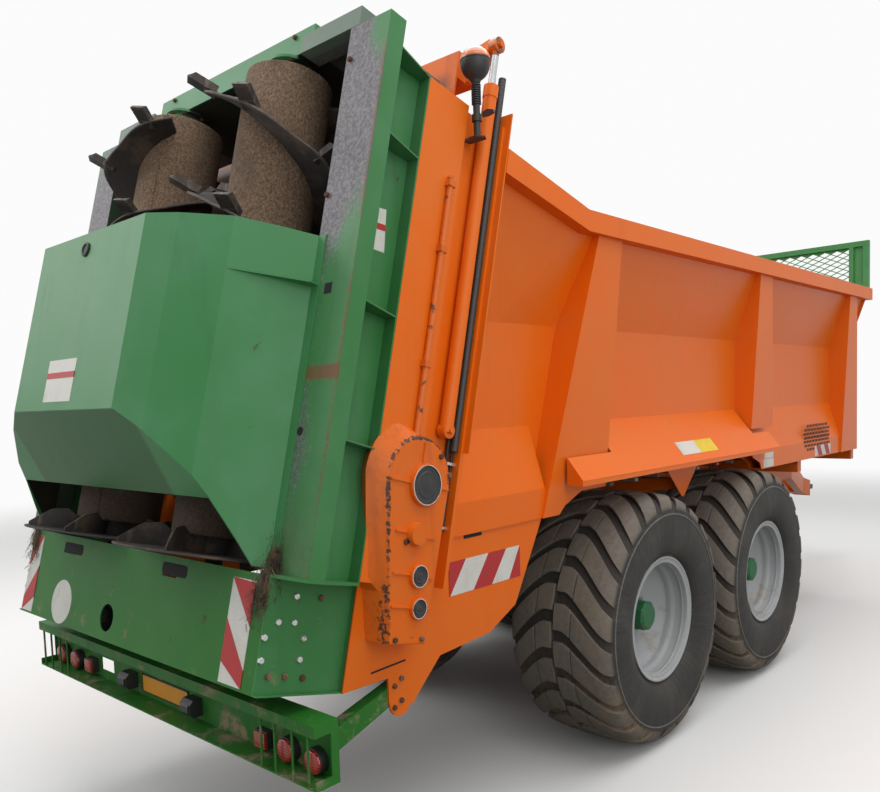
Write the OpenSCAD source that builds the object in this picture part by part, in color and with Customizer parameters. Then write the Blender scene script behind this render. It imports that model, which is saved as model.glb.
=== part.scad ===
// Tandem-axle manure spreader with two upright beaters, in millimetres.
// X is across the machine with +X to its right, Y is along it with +Y
// towards the tow eye, Z is up from the ground.

/* [Wheels] */
// Radius of a tyre out to the tips of its lugs
tyre_r = 725; // [690:5:740]
// Width of a tyre across its sidewalls
tyre_w = 640; // [620:5:700]
// Height of the tread lugs
lug_h = 24; // [10:1:40]
// Number of lugs in each of the two rows of a tyre
lug_count = 22; // [14:1:26]
// Distance from the centreline to the middle of a tyre
wheel_x = 930; // [915:5:950]
// Distance between the two axles
wheelbase = 1550; // [1500:10:1700]
// Radius of the rim's outer flange
rim_r = 357; // [330:1:380]
// Width of the rim between its flanges
rim_w = 560; // [530:5:580]
// Thickness of the rim's steel
rim_t = 12; // [8:1:16]
// Radius of the hub's flange on the wheel disc
hub_flange_r = 165; // [140:1:190]
// Radius of the hub's barrel and cap
hub_r = 88; // [75:1:100]
// Radius of the axle's stub inside the hub
stub_r = 55; // [40:1:65]

/* [Chassis] */
// Distance from the centreline to the outer face of a main beam
beam_x = 460; // [400:5:480]
// Width of a main beam
beam_w = 90; // [60:5:110]
// Height of a main beam
beam_h = 210; // [160:5:240]
// Side of the square axle beam
axle_h = 140; // [110:5:150]
// Thickness of a leaf spring pack at the axle
spring_t = 78; // [60:2:100]
// Length of a leaf spring between its eyes
spring_len = 1080; // [900:10:1200]
// Height of the drive line above the ground
drive_z = 1045; // [1030:5:1055]
// Radius of the drive line's shaft
drive_r = 30; // [22:1:35]
// Radius of the splined stub at the front of the drive line
pto_r = 17.46; // [15:0.01:20]
// Length of the splined stub
pto_len = 90; // [70:5:110]

/* [Drawbar] */
// Distance from the tub's front to the middle of the tow eye
eye_reach = 1850; // [1500:10:2200]
// Height of the tow eye above the ground
eye_z = 820; // [700:10:900]
// Radius of the hole in the tow eye
eye_bore_r = 25.5; // [20:0.5:30]
// Radius of the tow eye's ring
eye_ring_r = 68; // [55:1:80]
// Side of the parking jack's outer tube
jack_w = 110; // [90:5:130]
// Distance from the tub's front to the jack
jack_reach = 900; // [700:10:1100]

/* [Tub] */
// Top of the side rails above the ground
rail_z = 2933; // [2850:1:2995]
// Distance from the centreline to the rail's outer face
rail_x = 1181; // [1150:1:1200]
// Height of a side rail
rail_h = 105; // [80:5:120]
// Width of a side rail
rail_w = 80; // [60:5:95]
// Distance from the centreline to the wall's inner face below the crease
wall_x = 960; // [930:5:980]
// Thickness of the tub's plates
plate_t = 6; // [4:1:10]
// Height of the crease where the wall starts to lean out
crease_z = 2375; // [2245:5:2495]
// Height of the lower crease where the skirt starts
skirt_z = 1875; // [1805:5:1945]
// Lower edge of the tub's sides above the ground
sill_z = 1421; // [1415:1:1445]
// Distance from the centreline to the foot of the skirt
skirt_x = 1060; // [1030:5:1080]
// Top of the tub's floor above the ground
floor_z = 1565; // [1545:5:1605]
// Front end of the tub, ahead of the rear axle
tub_front = 4243; // [4100:1:4400]
// Place of the rail's bend, behind the rear axle
rail_bend = 662; // [600:1:720]
// Rise of the rail from its bend to the rear frame
rail_rise = 172; // [100:1:200]
// Top of the headboard above the ground
head_z = 3380; // [3245:5:3445]

/* [Rear frame] */
// Lean of the beater unit towards the front
rear_tilt = 14; // [12:0.1:16]
// Lower rear corner of the beater unit, behind the rear axle
rear_y = 2650; // [2600:1:2700]
// Lower rear corner of the beater unit above the ground
rear_z = 1011; // [995:1:1045]
// Distance from the centreline to the side faces of the rear frame
frame_x = 1120; // [1110:1:1130]
// Front and rear faces of the rear frame, ahead of the unit's rear corner
frame_v0 = 334; // [325:1:345]
frame_v1 = 798; // [790:1:820]
// Length of the rear frame up the lean
frame_top = 2450; // [2400:5:2500]
// Radius of the gate cylinders' barrels
barrel_r = 30; // [26:1:34]
// Radius of the gate cylinders' rods
rod_r = 16; // [12:1:20]

/* [Beater unit] */
// Distance from the centreline to a post's outer face
post_x = 1165; // [1150:1:1180]
// Width of a post's rear face
post_w = 225; // [200:1:240]
// Depth of a post
post_d = 82; // [60:1:90]
// Height of a post up the lean
post_top = 2550; // [2500:5:2600]
// Half the width of the tailboard
tail_x = 1018; // [1005:1:1030]
// Height of the tailboard
tail_h = 420; // [400:5:440]
// Distance from the centreline to a beater's axis
beater_x = 435; // [430:1:445]
// Place of a beater's axis ahead of the unit's rear corner
beater_v = 142; // [135:1:150]
// Radius of a beater's drum
drum_r = 188; // [170:1:200]
// Radius of the flights' edge
flight_r = 348; // [320:1:360]
// Radius that the beater's teeth reach
tooth_r = 424; // [400:1:425]
// Rise of a flight in one turn
flight_pitch = 900; // [800:10:1000]
// Thickness of a flight
flight_t = 12; // [8:1:16]
// Teeth in one turn of a flight
teeth_turn = 6; // [4:1:8]
// Radius of the spinning disc below a beater
disc_r = 405; // [380:1:415]

/* [Hood] */
// Half the width of the hood's rear panel
hood_x = 460; // [430:5:490]
// Distance of the rear panel behind the unit's rear corner
hood_out = 410; // [380:5:440]
// Lower edge of the rear panel up the lean
hood_w0 = 945; // [900:5:980]
// Top edge of the hood up the lean
hood_w1 = 1700; // [1650:5:1750]
// Lip of the hood's sloping underside up the lean
hood_lip = 662; // [640:2:690]

/* [Bumper] */
// Half the width of the lamp bar
bumper_x = 1172; // [1150:1:1220]
// Height of the lamp bar
bumper_h = 237; // [200:1:260]
// Top of the lamp bar above the ground
bumper_z = 895; // [865:5:905]
// Radius of a round lamp
lamp_r = 50; // [40:1:60]

/* [Hidden] */

// Gap left between curved faces and between a shaft and its hole
run_gap = 0.3;
// Colours of the paints and materials
orange = [0.90, 0.40, 0.08];
green = [0.26, 0.50, 0.27];
silver = [0.70, 0.71, 0.72];
rubber = [0.12, 0.12, 0.12];
steel = [0.42, 0.38, 0.34];
dark = [0.10, 0.10, 0.11];

// Front and rear ends of the whole machine, and the middle between them
y_front = tub_front + eye_reach + eye_ring_r;
y_rear = -rear_y - hood_out * cos(rear_tilt) + hood_w0 * sin(rear_tilt);
y_mid = (y_front + y_rear) / 2;

// Place of a point of the leaning rear unit, from its distance ahead of the
// unit's rear corner (v) and its distance up the lean (w)
function lean_y(v, w) = -rear_y + v * cos(rear_tilt) + w * sin(rear_tilt);
function lean_z(v, w) = rear_z - v * sin(rear_tilt) + w * cos(rear_tilt);
// Distance up the lean of a level above the ground, at a given v
function lean_up(v, z) = (z - rear_z + v * sin(rear_tilt)) / cos(rear_tilt);

axle_z = tyre_r;
sides = [1, -1];
axle_ys = [0, wheelbase];
outrigger_h = 96;
beam_z1 = sill_z - outrigger_h;
beam_z0 = beam_z1 - beam_h;
frame_in = wall_x + 40;
cheek_x = frame_x - 70;
recess_x = frame_x - 35;
rib_x = rail_x - 30;

// Chain conveyor on the floor
strand_h = 20;
slat_h = 20;
floor_rib_h = 40;
return_gap = 10;
loop_z1 = floor_z + run_gap + strand_h / 2;
loop_z0 = floor_z - floor_rib_h - return_gap - strand_h / 2;
loop_r = (loop_z1 - loop_z0) / 2;
loop_z = (loop_z1 + loop_z0) / 2;
loop_rear = -1820;
loop_front = tub_front - 150;
strand_x = [130, 830];
slat_pitch = 290;

// Sliding gate and its cylinders
gate_v = 600;
gate_t = 10;
gate_w0 = lean_up(gate_v, floor_z + strand_h + slat_h) + 20;
cyl_v = 695;
cyl_x = recess_x + barrel_r + 6;
barrel_w0 = 1050;
barrel_w1 = 2600;
bore_w0 = barrel_w0 + 90;
eye_w = barrel_w1 + 190;
eye_r = 34;
eye_t = 40;
pin_eye_r = 12;
gate_beam_w = eye_w - 150;

// Beaters
shaft_r = 35;
drum_w0 = 520;
drum_w1 = 2490;
disc_w = tail_h + 24;
flight_w0 = drum_w0 + 205;
post_v = 45;
beam_w0 = drum_w1 + 110;
beam_w1 = beam_w0 + 118;

module place() translate([0, -y_mid, 0]) children();
module in_lean() place() translate([0, -rear_y, rear_z]) rotate([-rear_tilt, 0, 0]) children();
module side(s) {
  if (s > 0) children();
  else mirror([1, 0, 0]) children();
}
// A flat outline in Y and Z, given thickness t across the machine from x
module across(x, t) translate([x, 0, 0]) rotate([90, 0, 90]) linear_extrude(height = t) children();
// A flat outline in X and Z, carried along the machine from y0 to y1
module along(y0, y1) translate([0, y1, 0]) rotate([90, 0, 0]) linear_extrude(height = y1 - y0) children();
// A box from its lowest to its highest corner
module block(a, b) translate(a) cube(b - a);

// Chassis: two main beams, cross members, outriggers and the spring hangers
hanger_w = 60;
spring_x = beam_x - beam_w / 2;
spring_rise = 97;
leaf_z = axle_z + axle_h / 2 + 15;
tip_z = leaf_z + spring_t - 8 + spring_rise;
hanger_ys = [-spring_len / 2, wheelbase + spring_len / 2];
rocker_h = 90;
pin_r = 20;
cross_ys = [-1500, -760, wheelbase / 2, 2700, tub_front - 90];
outrigger_ys = [-1500, 2700, tub_front - 90];
tongue_y = wheelbase / 2 - 10;
bearing_ys = [-760, wheelbase / 2, tub_front - 90];
module chassis() color(orange) place() {
  difference() {
    union() {
      for (s = sides) side(s) {
        block([beam_x - beam_w, -1700, beam_z0], [beam_x, tub_front, beam_z1]);
        for (y = outrigger_ys)
          block([beam_x - beam_w, y, beam_z1], [cheek_x - 10, y + 80, sill_z]);
        along(tongue_y - 30, tongue_y + 30) polygon([[beam_x - beam_w, beam_z1], [beam_x, beam_z1],
          [wall_x, sill_z - 30], [wall_x, sill_z + 40], [beam_x - beam_w, sill_z]]);
        for (y = hanger_ys)
          block([spring_x - hanger_w / 2, y - 45, tip_z + run_gap],
                [spring_x + hanger_w / 2, y + 45, beam_z0]);
        for (e = sides) translate([spring_x + e * (hanger_w / 2 + 8), wheelbase / 2, 0])
          block([-6, -60, tip_z + 15], [6, 60, beam_z0]);
      }
      for (y = cross_ys)
        block([-beam_x + beam_w, y, beam_z0], [beam_x - beam_w, y + 80, beam_z0 + 120]);
      for (y = bearing_ys)
        block([-70, y + 10, drive_z - 70], [70, y + 70, beam_z0]);
    }
    translate([0, tub_front, drive_z]) rotate([90, 0, 0])
      cylinder(r = drive_r + run_gap, h = 6200, $fn = 48);
    translate([-1000, wheelbase / 2, tip_z + rocker_h * 0.6]) rotate([0, 90, 0])
      cylinder(r = pin_r + run_gap, h = 2000, $fn = 48);
  }
}

// Drawbar: a box-section V that drops to the tow eye, with the jack's sleeve
draw_h = 180;
draw_z = beam_z0 + draw_h / 2;
nose = eye_reach - 150;
draw_angle = atan((draw_z - eye_z) / nose);
draw_nose_w = 90;
jack_x = -(draw_nose_w + (beam_x - draw_nose_w) * (1 - jack_reach / (nose - 200)) + jack_w / 2 + 16);
jack_y = tub_front + jack_reach;
jack_z = draw_z - jack_reach * tan(draw_angle);
module drawbar() color(orange) place() {
  difference() {
    union() {
      translate([0, tub_front, draw_z]) rotate([-draw_angle, 0, 0])
        translate([0, 0, -draw_h / 2]) linear_extrude(height = draw_h) difference() {
          polygon([[-beam_x, -60], [-beam_x, 0], [-draw_nose_w, nose - 200],
            [-draw_nose_w, nose + 80], [draw_nose_w, nose + 80],
            [draw_nose_w, nose - 200], [beam_x, 0], [beam_x, -60]]);
          polygon([[-beam_x + beam_w, -70], [-beam_x + beam_w, 20], [-20, nose - 250],
            [20, nose - 250], [beam_x - beam_w, 20], [beam_x - beam_w, -70]]);
        }
      block([jack_x - jack_w / 2 - 12, jack_y - jack_w / 2 - 12, jack_z - 90],
            [jack_x + jack_w / 2 + 40, jack_y + jack_w / 2 + 12, jack_z + 90]);
    }
    block([-2000, tub_front - 400, 0], [2000, tub_front, 3000]);
    block([-2000, tub_front + nose, 0], [2000, tub_front + nose + 400, 3000]);
    block([jack_x - jack_w / 2, jack_y - jack_w / 2, 0],
          [jack_x + jack_w / 2, jack_y + jack_w / 2, 3000]);
  }
}

// Tow eye: a forged ring on a flange, bolted to the drawbar's nose
eye_h = 50;
module tow_eye() color(steel) place() {
  difference() {
    union() {
      translate([0, tub_front + eye_reach, eye_z - eye_h / 2]) cylinder(r = eye_ring_r, h = eye_h, $fn = 64);
      block([-80, tub_front + nose, eye_z - 75], [80, tub_front + nose + 25, eye_z + 75]);
      block([-36, tub_front + nose + 25, eye_z - eye_h / 2],
            [36, tub_front + eye_reach - eye_ring_r / 2, eye_z + eye_h / 2]);
    }
    translate([0, tub_front + eye_reach, eye_z - eye_h]) cylinder(r = eye_bore_r, h = 2 * eye_h, $fn = 64);
  }
}

// Parking jack: a square tube, an inner leg and a foot plate on the ground
module jack() color(dark) place() translate([jack_x, jack_y, 0]) {
  translate([0, 0, jack_z]) cube([jack_w, jack_w, 560], center = true);
  translate([0, 0, (jack_z - 260) / 2]) cube([jack_w - 24, jack_w - 24, jack_z - 260], center = true);
  translate([0, 0, 8]) cube([220, 220, 16], center = true);
  translate([0, 0, jack_z + 280]) cylinder(r = 22, h = 60, $fn = 32);
}

// Axles: square beams with a turned stub at each end
axle_end = wheel_x - 245;
module axles() color(dark) place() for (y = axle_ys) translate([0, y, axle_z]) {
  cube([2 * axle_end, axle_h, axle_h], center = true);
  for (s = sides) side(s) rotate([0, 90, 0]) cylinder(r = stub_r, h = wheel_x + 90, $fn = 48);
}

// Leaf springs, one pack over each end of an axle, and the rockers between
leaf_n = 5;
leaf_t = (spring_t - 8) / leaf_n;
leaf_w = 76;
arc_r = spring_len * spring_len / (8 * spring_rise) + spring_rise / 2;
module leaf(len, drop) intersection() {
  difference() {
    circle(r = arc_r + drop + leaf_t, $fn = 360);
    circle(r = arc_r + drop, $fn = 360);
  }
  translate([-len / 2, -2 * arc_r]) square([len, 2 * arc_r]);
}
module spring_pack() {
  translate([0, 0, leaf_z + leaf_n * leaf_t + arc_r]) for (i = [0 : leaf_n - 1])
    across(-leaf_w / 2, leaf_w) leaf(spring_len * (1 - 0.16 * i), i * leaf_t);
  translate([0, 0, (axle_z + axle_h / 2 + leaf_z + 8) / 2])
    cube([leaf_w + 16, 130, leaf_z + 8 - axle_z - axle_h / 2], center = true);
}
module springs() color(dark) place() for (s = sides) side(s) translate([spring_x, 0, 0]) {
  for (y = axle_ys) translate([0, y, 0]) spring_pack();
  translate([0, wheelbase / 2, tip_z + run_gap]) rocker();
}
rocker_len = wheelbase - spring_len + 60;
module rocker() {
  across(-hanger_w / 2, hanger_w) polygon([[-rocker_len / 2, 0], [rocker_len / 2, 0],
    [rocker_len / 2, 30], [60, rocker_h], [-60, rocker_h], [-rocker_len / 2, 30]]);
  translate([-hanger_w / 2 - 20, 0, rocker_h * 0.6 - run_gap]) rotate([0, 90, 0])
    cylinder(r = pin_r, h = hanger_w + 40, $fn = 48);
}

// Wheels are drawn with the axle along Z, the outer side up
module wheel_at(y, s) place() side(s) translate([wheel_x, y, axle_z]) rotate([0, 90, 0]) children();

// Hub: flange behind the wheel disc, capped barrel and the brake drum inside
disc_a = 60;
drum_a = -235;
module hub() color(green) rotate_extrude($fn = 64) polygon([
  [stub_r + run_gap, drum_a], [stub_r + run_gap, 100], [0, 100], [0, 190], [hub_r - 22, 190],
  [hub_r - 14, 182], [hub_r - 14, 130], [hub_r, 122], [hub_r, disc_a - rim_t],
  [hub_flange_r, disc_a - rim_t], [hub_flange_r, disc_a - rim_t - 24], [205, disc_a - 60],
  [205, -150], [190, drum_a]]);

// Rim: a deep stepped dish of pressed steel, with a well in the middle
seat_r = rim_r - 20;
well_r = seat_r - 20;
flange_a = rim_w / 2;
function rim_outer(s) = [[rim_r, s * flange_a], [rim_r, s * (flange_a - rim_t)],
  [seat_r, s * (flange_a - rim_t)], [seat_r - 5, s * 195], [well_r, s * 150]];
function rim_inner(s) = [[rim_r - rim_t, s * flange_a], [seat_r - rim_t - 4, s * (flange_a - 8)],
  [seat_r - rim_t - 8, s * 190], [well_r - rim_t, s * 142]];
function flip(list) = [for (i = [len(list) - 1 : -1 : 0]) list[i]];
module rim() color(silver) rotate_extrude($fn = 96) {
  polygon(concat(rim_outer(1), flip(rim_outer(-1)), rim_inner(-1), flip(rim_inner(1))));
  polygon([[well_r - 4, disc_a + 75], [well_r - 4, disc_a + 75 - rim_t], [215, disc_a - rim_t],
    [hub_r + 3, disc_a - rim_t], [hub_r + 3, disc_a], [213, disc_a], [well_r - 16, disc_a + 75]]);
}

// Tyre: a wide flotation casing with two rows of bars set half a pitch apart
casing_r = tyre_r - lug_h;
bead_a = flange_a - rim_t - run_gap;
half_w = tyre_w / 2;
function tyre_side(s) = [[seat_r + run_gap, s * bead_a], [rim_r + 6, s * bead_a],
  [rim_r + 12, s * (half_w - 48)], [rim_r + 65, s * (half_w - 13)], [rim_r + 165, s * half_w],
  [casing_r - 70, s * (half_w - 12)], [casing_r - 26, s * (half_w - 52)],
  [casing_r - 5, s * (half_w - 140)]];
// One bar, from near the middle over the shoulder: [across, turn back, top, half width]
lug_rows = [[6, 0, 0, 3.1], [half_w * 0.55, 5.2, 4, 2.9],
  [half_w * 0.86, 8.4, 20, 2.9], [half_w * 0.965, 9.4, 82, 2.4]];
function lug_points() = [for (c = lug_rows) for (q = [[-1, 0], [1, 0], [1, 1], [-1, 1]])
  let (r = tyre_r - c[2] - (1 - q[1]) * (lug_h + 12), a = c[1] + q[0] * c[3])
  [r * cos(a), r * sin(a), c[0]]];
lug_ends = len(lug_rows) * 4 - 4;
lug_faces = concat([[3, 2, 1, 0]], [[lug_ends, lug_ends + 1, lug_ends + 2, lug_ends + 3]],
  [for (i = [0 : len(lug_rows) - 2]) for (k = [0 : 3])
    [4 * i + k, 4 * i + (k + 1) % 4, 4 * i + 4 + (k + 1) % 4, 4 * i + 4 + k]]);
module tyre() color(rubber) {
  rotate_extrude($fn = 96) polygon(concat(tyre_side(1), flip(tyre_side(-1))));
  for (i = [0 : lug_count - 1]) {
    rotate([0, 0, 360 * i / lug_count]) polyhedron(lug_points(), lug_faces, convexity = 4);
    rotate([0, 0, 360 * (i + 0.5) / lug_count]) mirror([0, 0, 1])
      polyhedron(lug_points(), lug_faces, convexity = 4);
  }
}

// Tub floor: a plate on cross ribs between the side walls
floor_y0 = loop_rear + loop_r + 30;
floor_y1 = loop_front - loop_r - 30;
floor_rib_pitch = 600;
module tub_floor() color(orange) place() {
  block([-wall_x, floor_y0, floor_z - plate_t], [wall_x, floor_y1, floor_z]);
  for (y = [floor_y0 : floor_rib_pitch : floor_y1 - 60])
    block([-wall_x, y, floor_z - floor_rib_h], [wall_x, y + 50, floor_z - plate_t]);
}

// Side wall: upright sheet, sheet that leans out to the rail, skirt and ribs
cut_v = frame_v1;
seam_x = rail_x - rail_w + 5;
function wall_at(z) = wall_x + max(0, z - crease_z) * (seam_x - wall_x) / (rail_z - rail_h - crease_z);
rail_top_y = lean_y(cut_v, lean_up(cut_v, rail_z + rail_rise));
crease_y = -1140;
edge_y = lean_y(cut_v, lean_up(cut_v, crease_z));
seam_z = rail_z - rail_h + 12;
skin_points = [[wall_x, tub_front, sill_z], [wall_x, tub_front, crease_z], [wall_x, crease_y, crease_z],
  [wall_x, edge_y - 40, crease_z], [wall_x, -2600, sill_z], [wall_at(seam_z), tub_front, seam_z],
  [wall_at(seam_z), -rail_bend, seam_z], [wall_at(seam_z), rail_top_y - 40, seam_z + rail_rise]];
skin_panels = [[0, 1, 2, 3, 4], [1, 5, 6, 2], [2, 6, 7], [2, 7, 3]];
skin_edge = [0, 1, 5, 6, 7, 3, 4];
skin_n = len(skin_points);
module skin() polyhedron(concat(skin_points, [for (q = skin_points) q + [plate_t, 0, 0]]),
  concat(skin_panels, [for (f = skin_panels) [for (i = [len(f) - 1 : -1 : 0]) f[i] + skin_n]],
    [for (i = [0 : len(skin_edge) - 1]) let (a = skin_edge[i], b = skin_edge[(i + 1) % len(skin_edge)])
      [b, a, a + skin_n, b + skin_n]]), convexity = 4);
module rail() across(rail_x - rail_w, rail_w) polygon([[tub_front, rail_z], [-rail_bend, rail_z],
  [rail_top_y - 60, rail_z + rail_rise + 8], [rail_top_y - 60, rail_z + rail_rise - rail_h],
  [-rail_bend, rail_z - rail_h], [tub_front, rail_z - rail_h]]);
// Outlines of the three ribs: [rear foot, front foot, foot height, rear top, front top]
rib_rows = [[-970, -400, sill_z, -510, -290], [1600, 2010, skirt_z - 140, 1640, 1850],
  [3745, 4230, sill_z, 3740, 3930]];
module rib(c) intersection() {
  across(wall_x, 400) polygon([[c[0], c[2]], [c[1], c[2]],
    [c[4], rail_z - rail_h / 2], [c[3], rail_z - rail_h / 2]]);
  along(-3000, 6000) polygon([[wall_x + 2, sill_z], [skirt_x + 14, sill_z], [rib_x, rail_z - rail_h],
    [rib_x, rail_z - 20], [seam_x + 2, rail_z - 20], [seam_x + 2, rail_z - rail_h], [wall_x + 2, crease_z]]);
}
module skirt(y0, y1) along(y0, y1) difference() {
  polygon([[wall_x + 2, skirt_z], [wall_x + plate_t, skirt_z], [skirt_x, floor_z],
    [skirt_x, sill_z], [wall_x + 2, sill_z]]);
  polygon([[wall_x + plate_t, skirt_z - 30], [skirt_x - plate_t, floor_z],
    [skirt_x - plate_t, sill_z + plate_t], [wall_x + plate_t, sill_z + plate_t]]);
}
// The arch over both wheels, and the pointed tongue of sheet between them
arch_y = [-870, 1890];
arch_z = floor_z - 42;
tongue_tip = sill_z - 86;
module side_wall(s) color(orange) place() side(s) difference() {
  union() {
    difference() {
      union() {
        skin();
        rail();
        for (c = rib_rows) rib(c);
        skirt(-2600, rib_rows[0][0] + 40);
        skirt(arch_y[1] - 190, rib_rows[2][0] + 40);
      }
      across(wall_x - 1, 300) polygon([[arch_y[0], 0], [arch_y[0], sill_z - 32],
        [arch_y[0] + 90, arch_z - 60], [arch_y[0] + 240, arch_z], [arch_y[1] - 190, arch_z],
        [arch_y[1] - 50, arch_z - 50], [arch_y[1], sill_z - 32], [arch_y[1], 0]]);
    }
    across(wall_x, plate_t) polygon([[tongue_y - 215, arch_z + 20], [tongue_y - 215, arch_z],
      [tongue_y - 14, tongue_tip], [tongue_y + 14, tongue_tip],
      [tongue_y + 215, arch_z], [tongue_y + 215, arch_z + 20]]);
  }
  translate([0, -rear_y, rear_z]) rotate([-rear_tilt, 0, 0])
    block([0, -3000, -3000], [3000, cut_v, 5000]);
}

// Front wall: a ribbed sheet across the tub, capped by a rail
front_y1 = tub_front + plate_t;
front_ribs = [-700, -240, 240, 700];
module front_wall() color(orange) place() {
  along(tub_front, front_y1) polygon([[-skirt_x, sill_z], [skirt_x, sill_z], [skirt_x, floor_z],
    [wall_x + 20, skirt_z], [wall_x + 20, crease_z], [rail_x - 6, rail_z], [-rail_x + 6, rail_z],
    [-wall_x - 20, crease_z], [-wall_x - 20, skirt_z], [-skirt_x, floor_z]]);
  for (x = front_ribs) block([x - 40, front_y1, sill_z + 60], [x + 40, front_y1 + 60, rail_z - rail_h]);
  block([-rail_x, front_y1, rail_z - rail_h], [rail_x, front_y1 + 70, rail_z]);
}

// Headboard: a tube frame with diamond mesh, on the front wall's rail
head_x = rail_x - 15;
head_t = 50;
head_y = tub_front - 5;
mesh_w = 110;
mesh_h = 52;
mesh_t = 5;
module headboard() color(green) place() {
  block([-head_x, head_y, rail_z], [head_x, head_y + head_t, rail_z + head_t]);
  block([-head_x, head_y, head_z - head_t], [head_x, head_y + head_t, head_z]);
  for (s = sides) side(s) {
    block([head_x - head_t, head_y, rail_z + head_t], [head_x, head_y + head_t, head_z - head_t]);
    block([head_x - 172, head_y, rail_z + head_t], [head_x - 172 + 40, head_y + head_t, head_z - head_t]);
    block([head_x - 132, head_y + 20, rail_z + head_t], [head_x - head_t, head_y + 26, head_z - head_t]);
  }
  mesh_x = head_x - 172;
  translate([0, head_y + 28, 0]) rotate([90, 0, 0]) linear_extrude(height = mesh_t) difference() {
    translate([-mesh_x, rail_z + head_t]) square([2 * mesh_x, head_z - rail_z - 2 * head_t]);
    intersection() {
      translate([-mesh_x, rail_z + head_t]) square([2 * mesh_x, head_z - rail_z - 2 * head_t]);
      for (i = [-9 : 9]) for (j = [0 : 12])
        translate([(i + (j % 2) / 2) * mesh_w, rail_z + head_t + j * mesh_h / 2])
          polygon([[-mesh_w / 2 + 8, 0], [0, -mesh_h / 2 + 5], [mesh_w / 2 - 8, 0], [0, mesh_h / 2 - 5]]);
    }
  }
}

// Mudguards: bent sheets that slope from the walls out over the tyres
guard_t = 5;
guard_x = 1195;
guard_z = skirt_z - 285;
guard_y = [-800, wheelbase + 320];
guard_lip = 24;
guard_a = atan((skirt_z - guard_z) / (guard_x - wall_x - plate_t));
guard_len = (guard_x - wall_x - plate_t) / cos(guard_a);
guard_clear = 1104;
guard_in = (guard_clear - wall_x - plate_t) / cos(guard_a);
gusset_z = skirt_z - (guard_clear - wall_x - plate_t) * tan(guard_a);
module mudguards() color(orange) place() for (s = sides) side(s) {
  translate([wall_x + plate_t, 0, skirt_z]) rotate([0, guard_a, 0]) linear_extrude(height = guard_t)
    polygon([[0, rib_rows[0][1] + 40], [guard_in, rib_rows[0][1] + 30], [guard_in, guard_y[0]],
      [guard_len, guard_y[0]], [guard_len, guard_y[1]], [guard_in, guard_y[1]],
      [guard_in, rib_rows[1][0] - 20], [0, rib_rows[1][0] - 20]]);
  block([guard_x - 3, guard_y[0], guard_z - guard_lip], [guard_x + 2, guard_y[1], guard_z + 3]);
  for (y = [guard_y[0], guard_y[1] - guard_t]) along(y, y + guard_t) polygon([[guard_clear + 1, gusset_z + 1],
    [guard_clear + 1, guard_z - guard_lip], [guard_x, guard_z - guard_lip], [guard_x, guard_z + 2]]);
}

// Floor conveyor: four chain strands and their slats, as one closed loop
module loop_outline(r) {
  hull_len = loop_front - loop_rear;
  translate([loop_rear, loop_z]) circle(r = r, $fn = 48);
  translate([loop_front, loop_z]) circle(r = r, $fn = 48);
  translate([loop_rear, loop_z - r]) square([hull_len, 2 * r]);
}
module conveyor() color(steel) place() {
  for (s = sides) side(s) for (x = strand_x)
    across(x - 15, 30) difference() {
      loop_outline(loop_r + strand_h / 2);
      loop_outline(loop_r - strand_h / 2);
    }
  for (s = sides) side(s) for (y = [loop_rear + 60 : slat_pitch : loop_front - 20]) {
    block([strand_x[0] - 40, y, loop_z1 + strand_h / 2 - 1],
          [strand_x[1] + 60, y + 40, loop_z1 + strand_h / 2 + slat_h]);
    block([strand_x[0] - 40, y, loop_z0 - strand_h / 2 - slat_h],
          [strand_x[1] + 60, y + 40, loop_z0 - strand_h / 2 + 1]);
  }
}
wheel_r = loop_r - strand_h / 2 - run_gap;
conveyor_shaft_r = 20;
module conveyor_shaft() color(steel) place() {
  for (p = [[loop_rear, frame_in], [loop_front, wall_x]]) translate([0, p[0], loop_z]) rotate([0, 90, 0]) {
    translate([0, 0, -p[1]]) cylinder(r = conveyor_shaft_r, h = 2 * p[1], $fn = 32);
    for (s = sides) for (x = strand_x) translate([0, 0, s * x - 12]) cylinder(r = wheel_r, h = 24, $fn = 48);
  }
}

// Drive line: a long shaft under the floor with a plain stub for the splines
drive_y0 = -1990;
drive_y1 = tub_front + 260;
module drive_shaft() color(steel) place() translate([0, 0, drive_z]) rotate([-90, 0, 0]) {
  translate([0, 0, drive_y0]) cylinder(r = drive_r, h = drive_y1 - drive_y0, $fn = 48);
  translate([0, 0, drive_y1]) cylinder(r = pto_r, h = pto_len, $fn = 48);
}

// Rear frame: a leaning channel with a deep recess for the gate's cylinder,
// and the cheek plate that hangs below the wall
recess_v0 = 575;
recess_v1 = frame_v1 - 20;
frame_w0 = tail_h + 10;
ridge_x = frame_x + 25;
cheek_t = 10;
frame_outer = [[frame_in, frame_v0], [frame_x, frame_v0], [frame_x, recess_v0],
  [recess_x, recess_v0 + 22], [recess_x, recess_v1], [ridge_x, recess_v1],
  [ridge_x, frame_v1], [frame_in, frame_v1]];
frame_inner = [[frame_in + plate_t, frame_v0 + plate_t], [frame_x - plate_t, frame_v0 + plate_t],
  [frame_x - plate_t, recess_v0 - plate_t], [recess_x - plate_t, recess_v0 + 16],
  [recess_x - plate_t, recess_v1 + plate_t], [ridge_x - plate_t, recess_v1 + plate_t],
  [ridge_x - plate_t, frame_v1 - plate_t], [frame_in + plate_t, frame_v1 - plate_t]];
cheek_top = 960;
cheek_v0 = 390;
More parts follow.
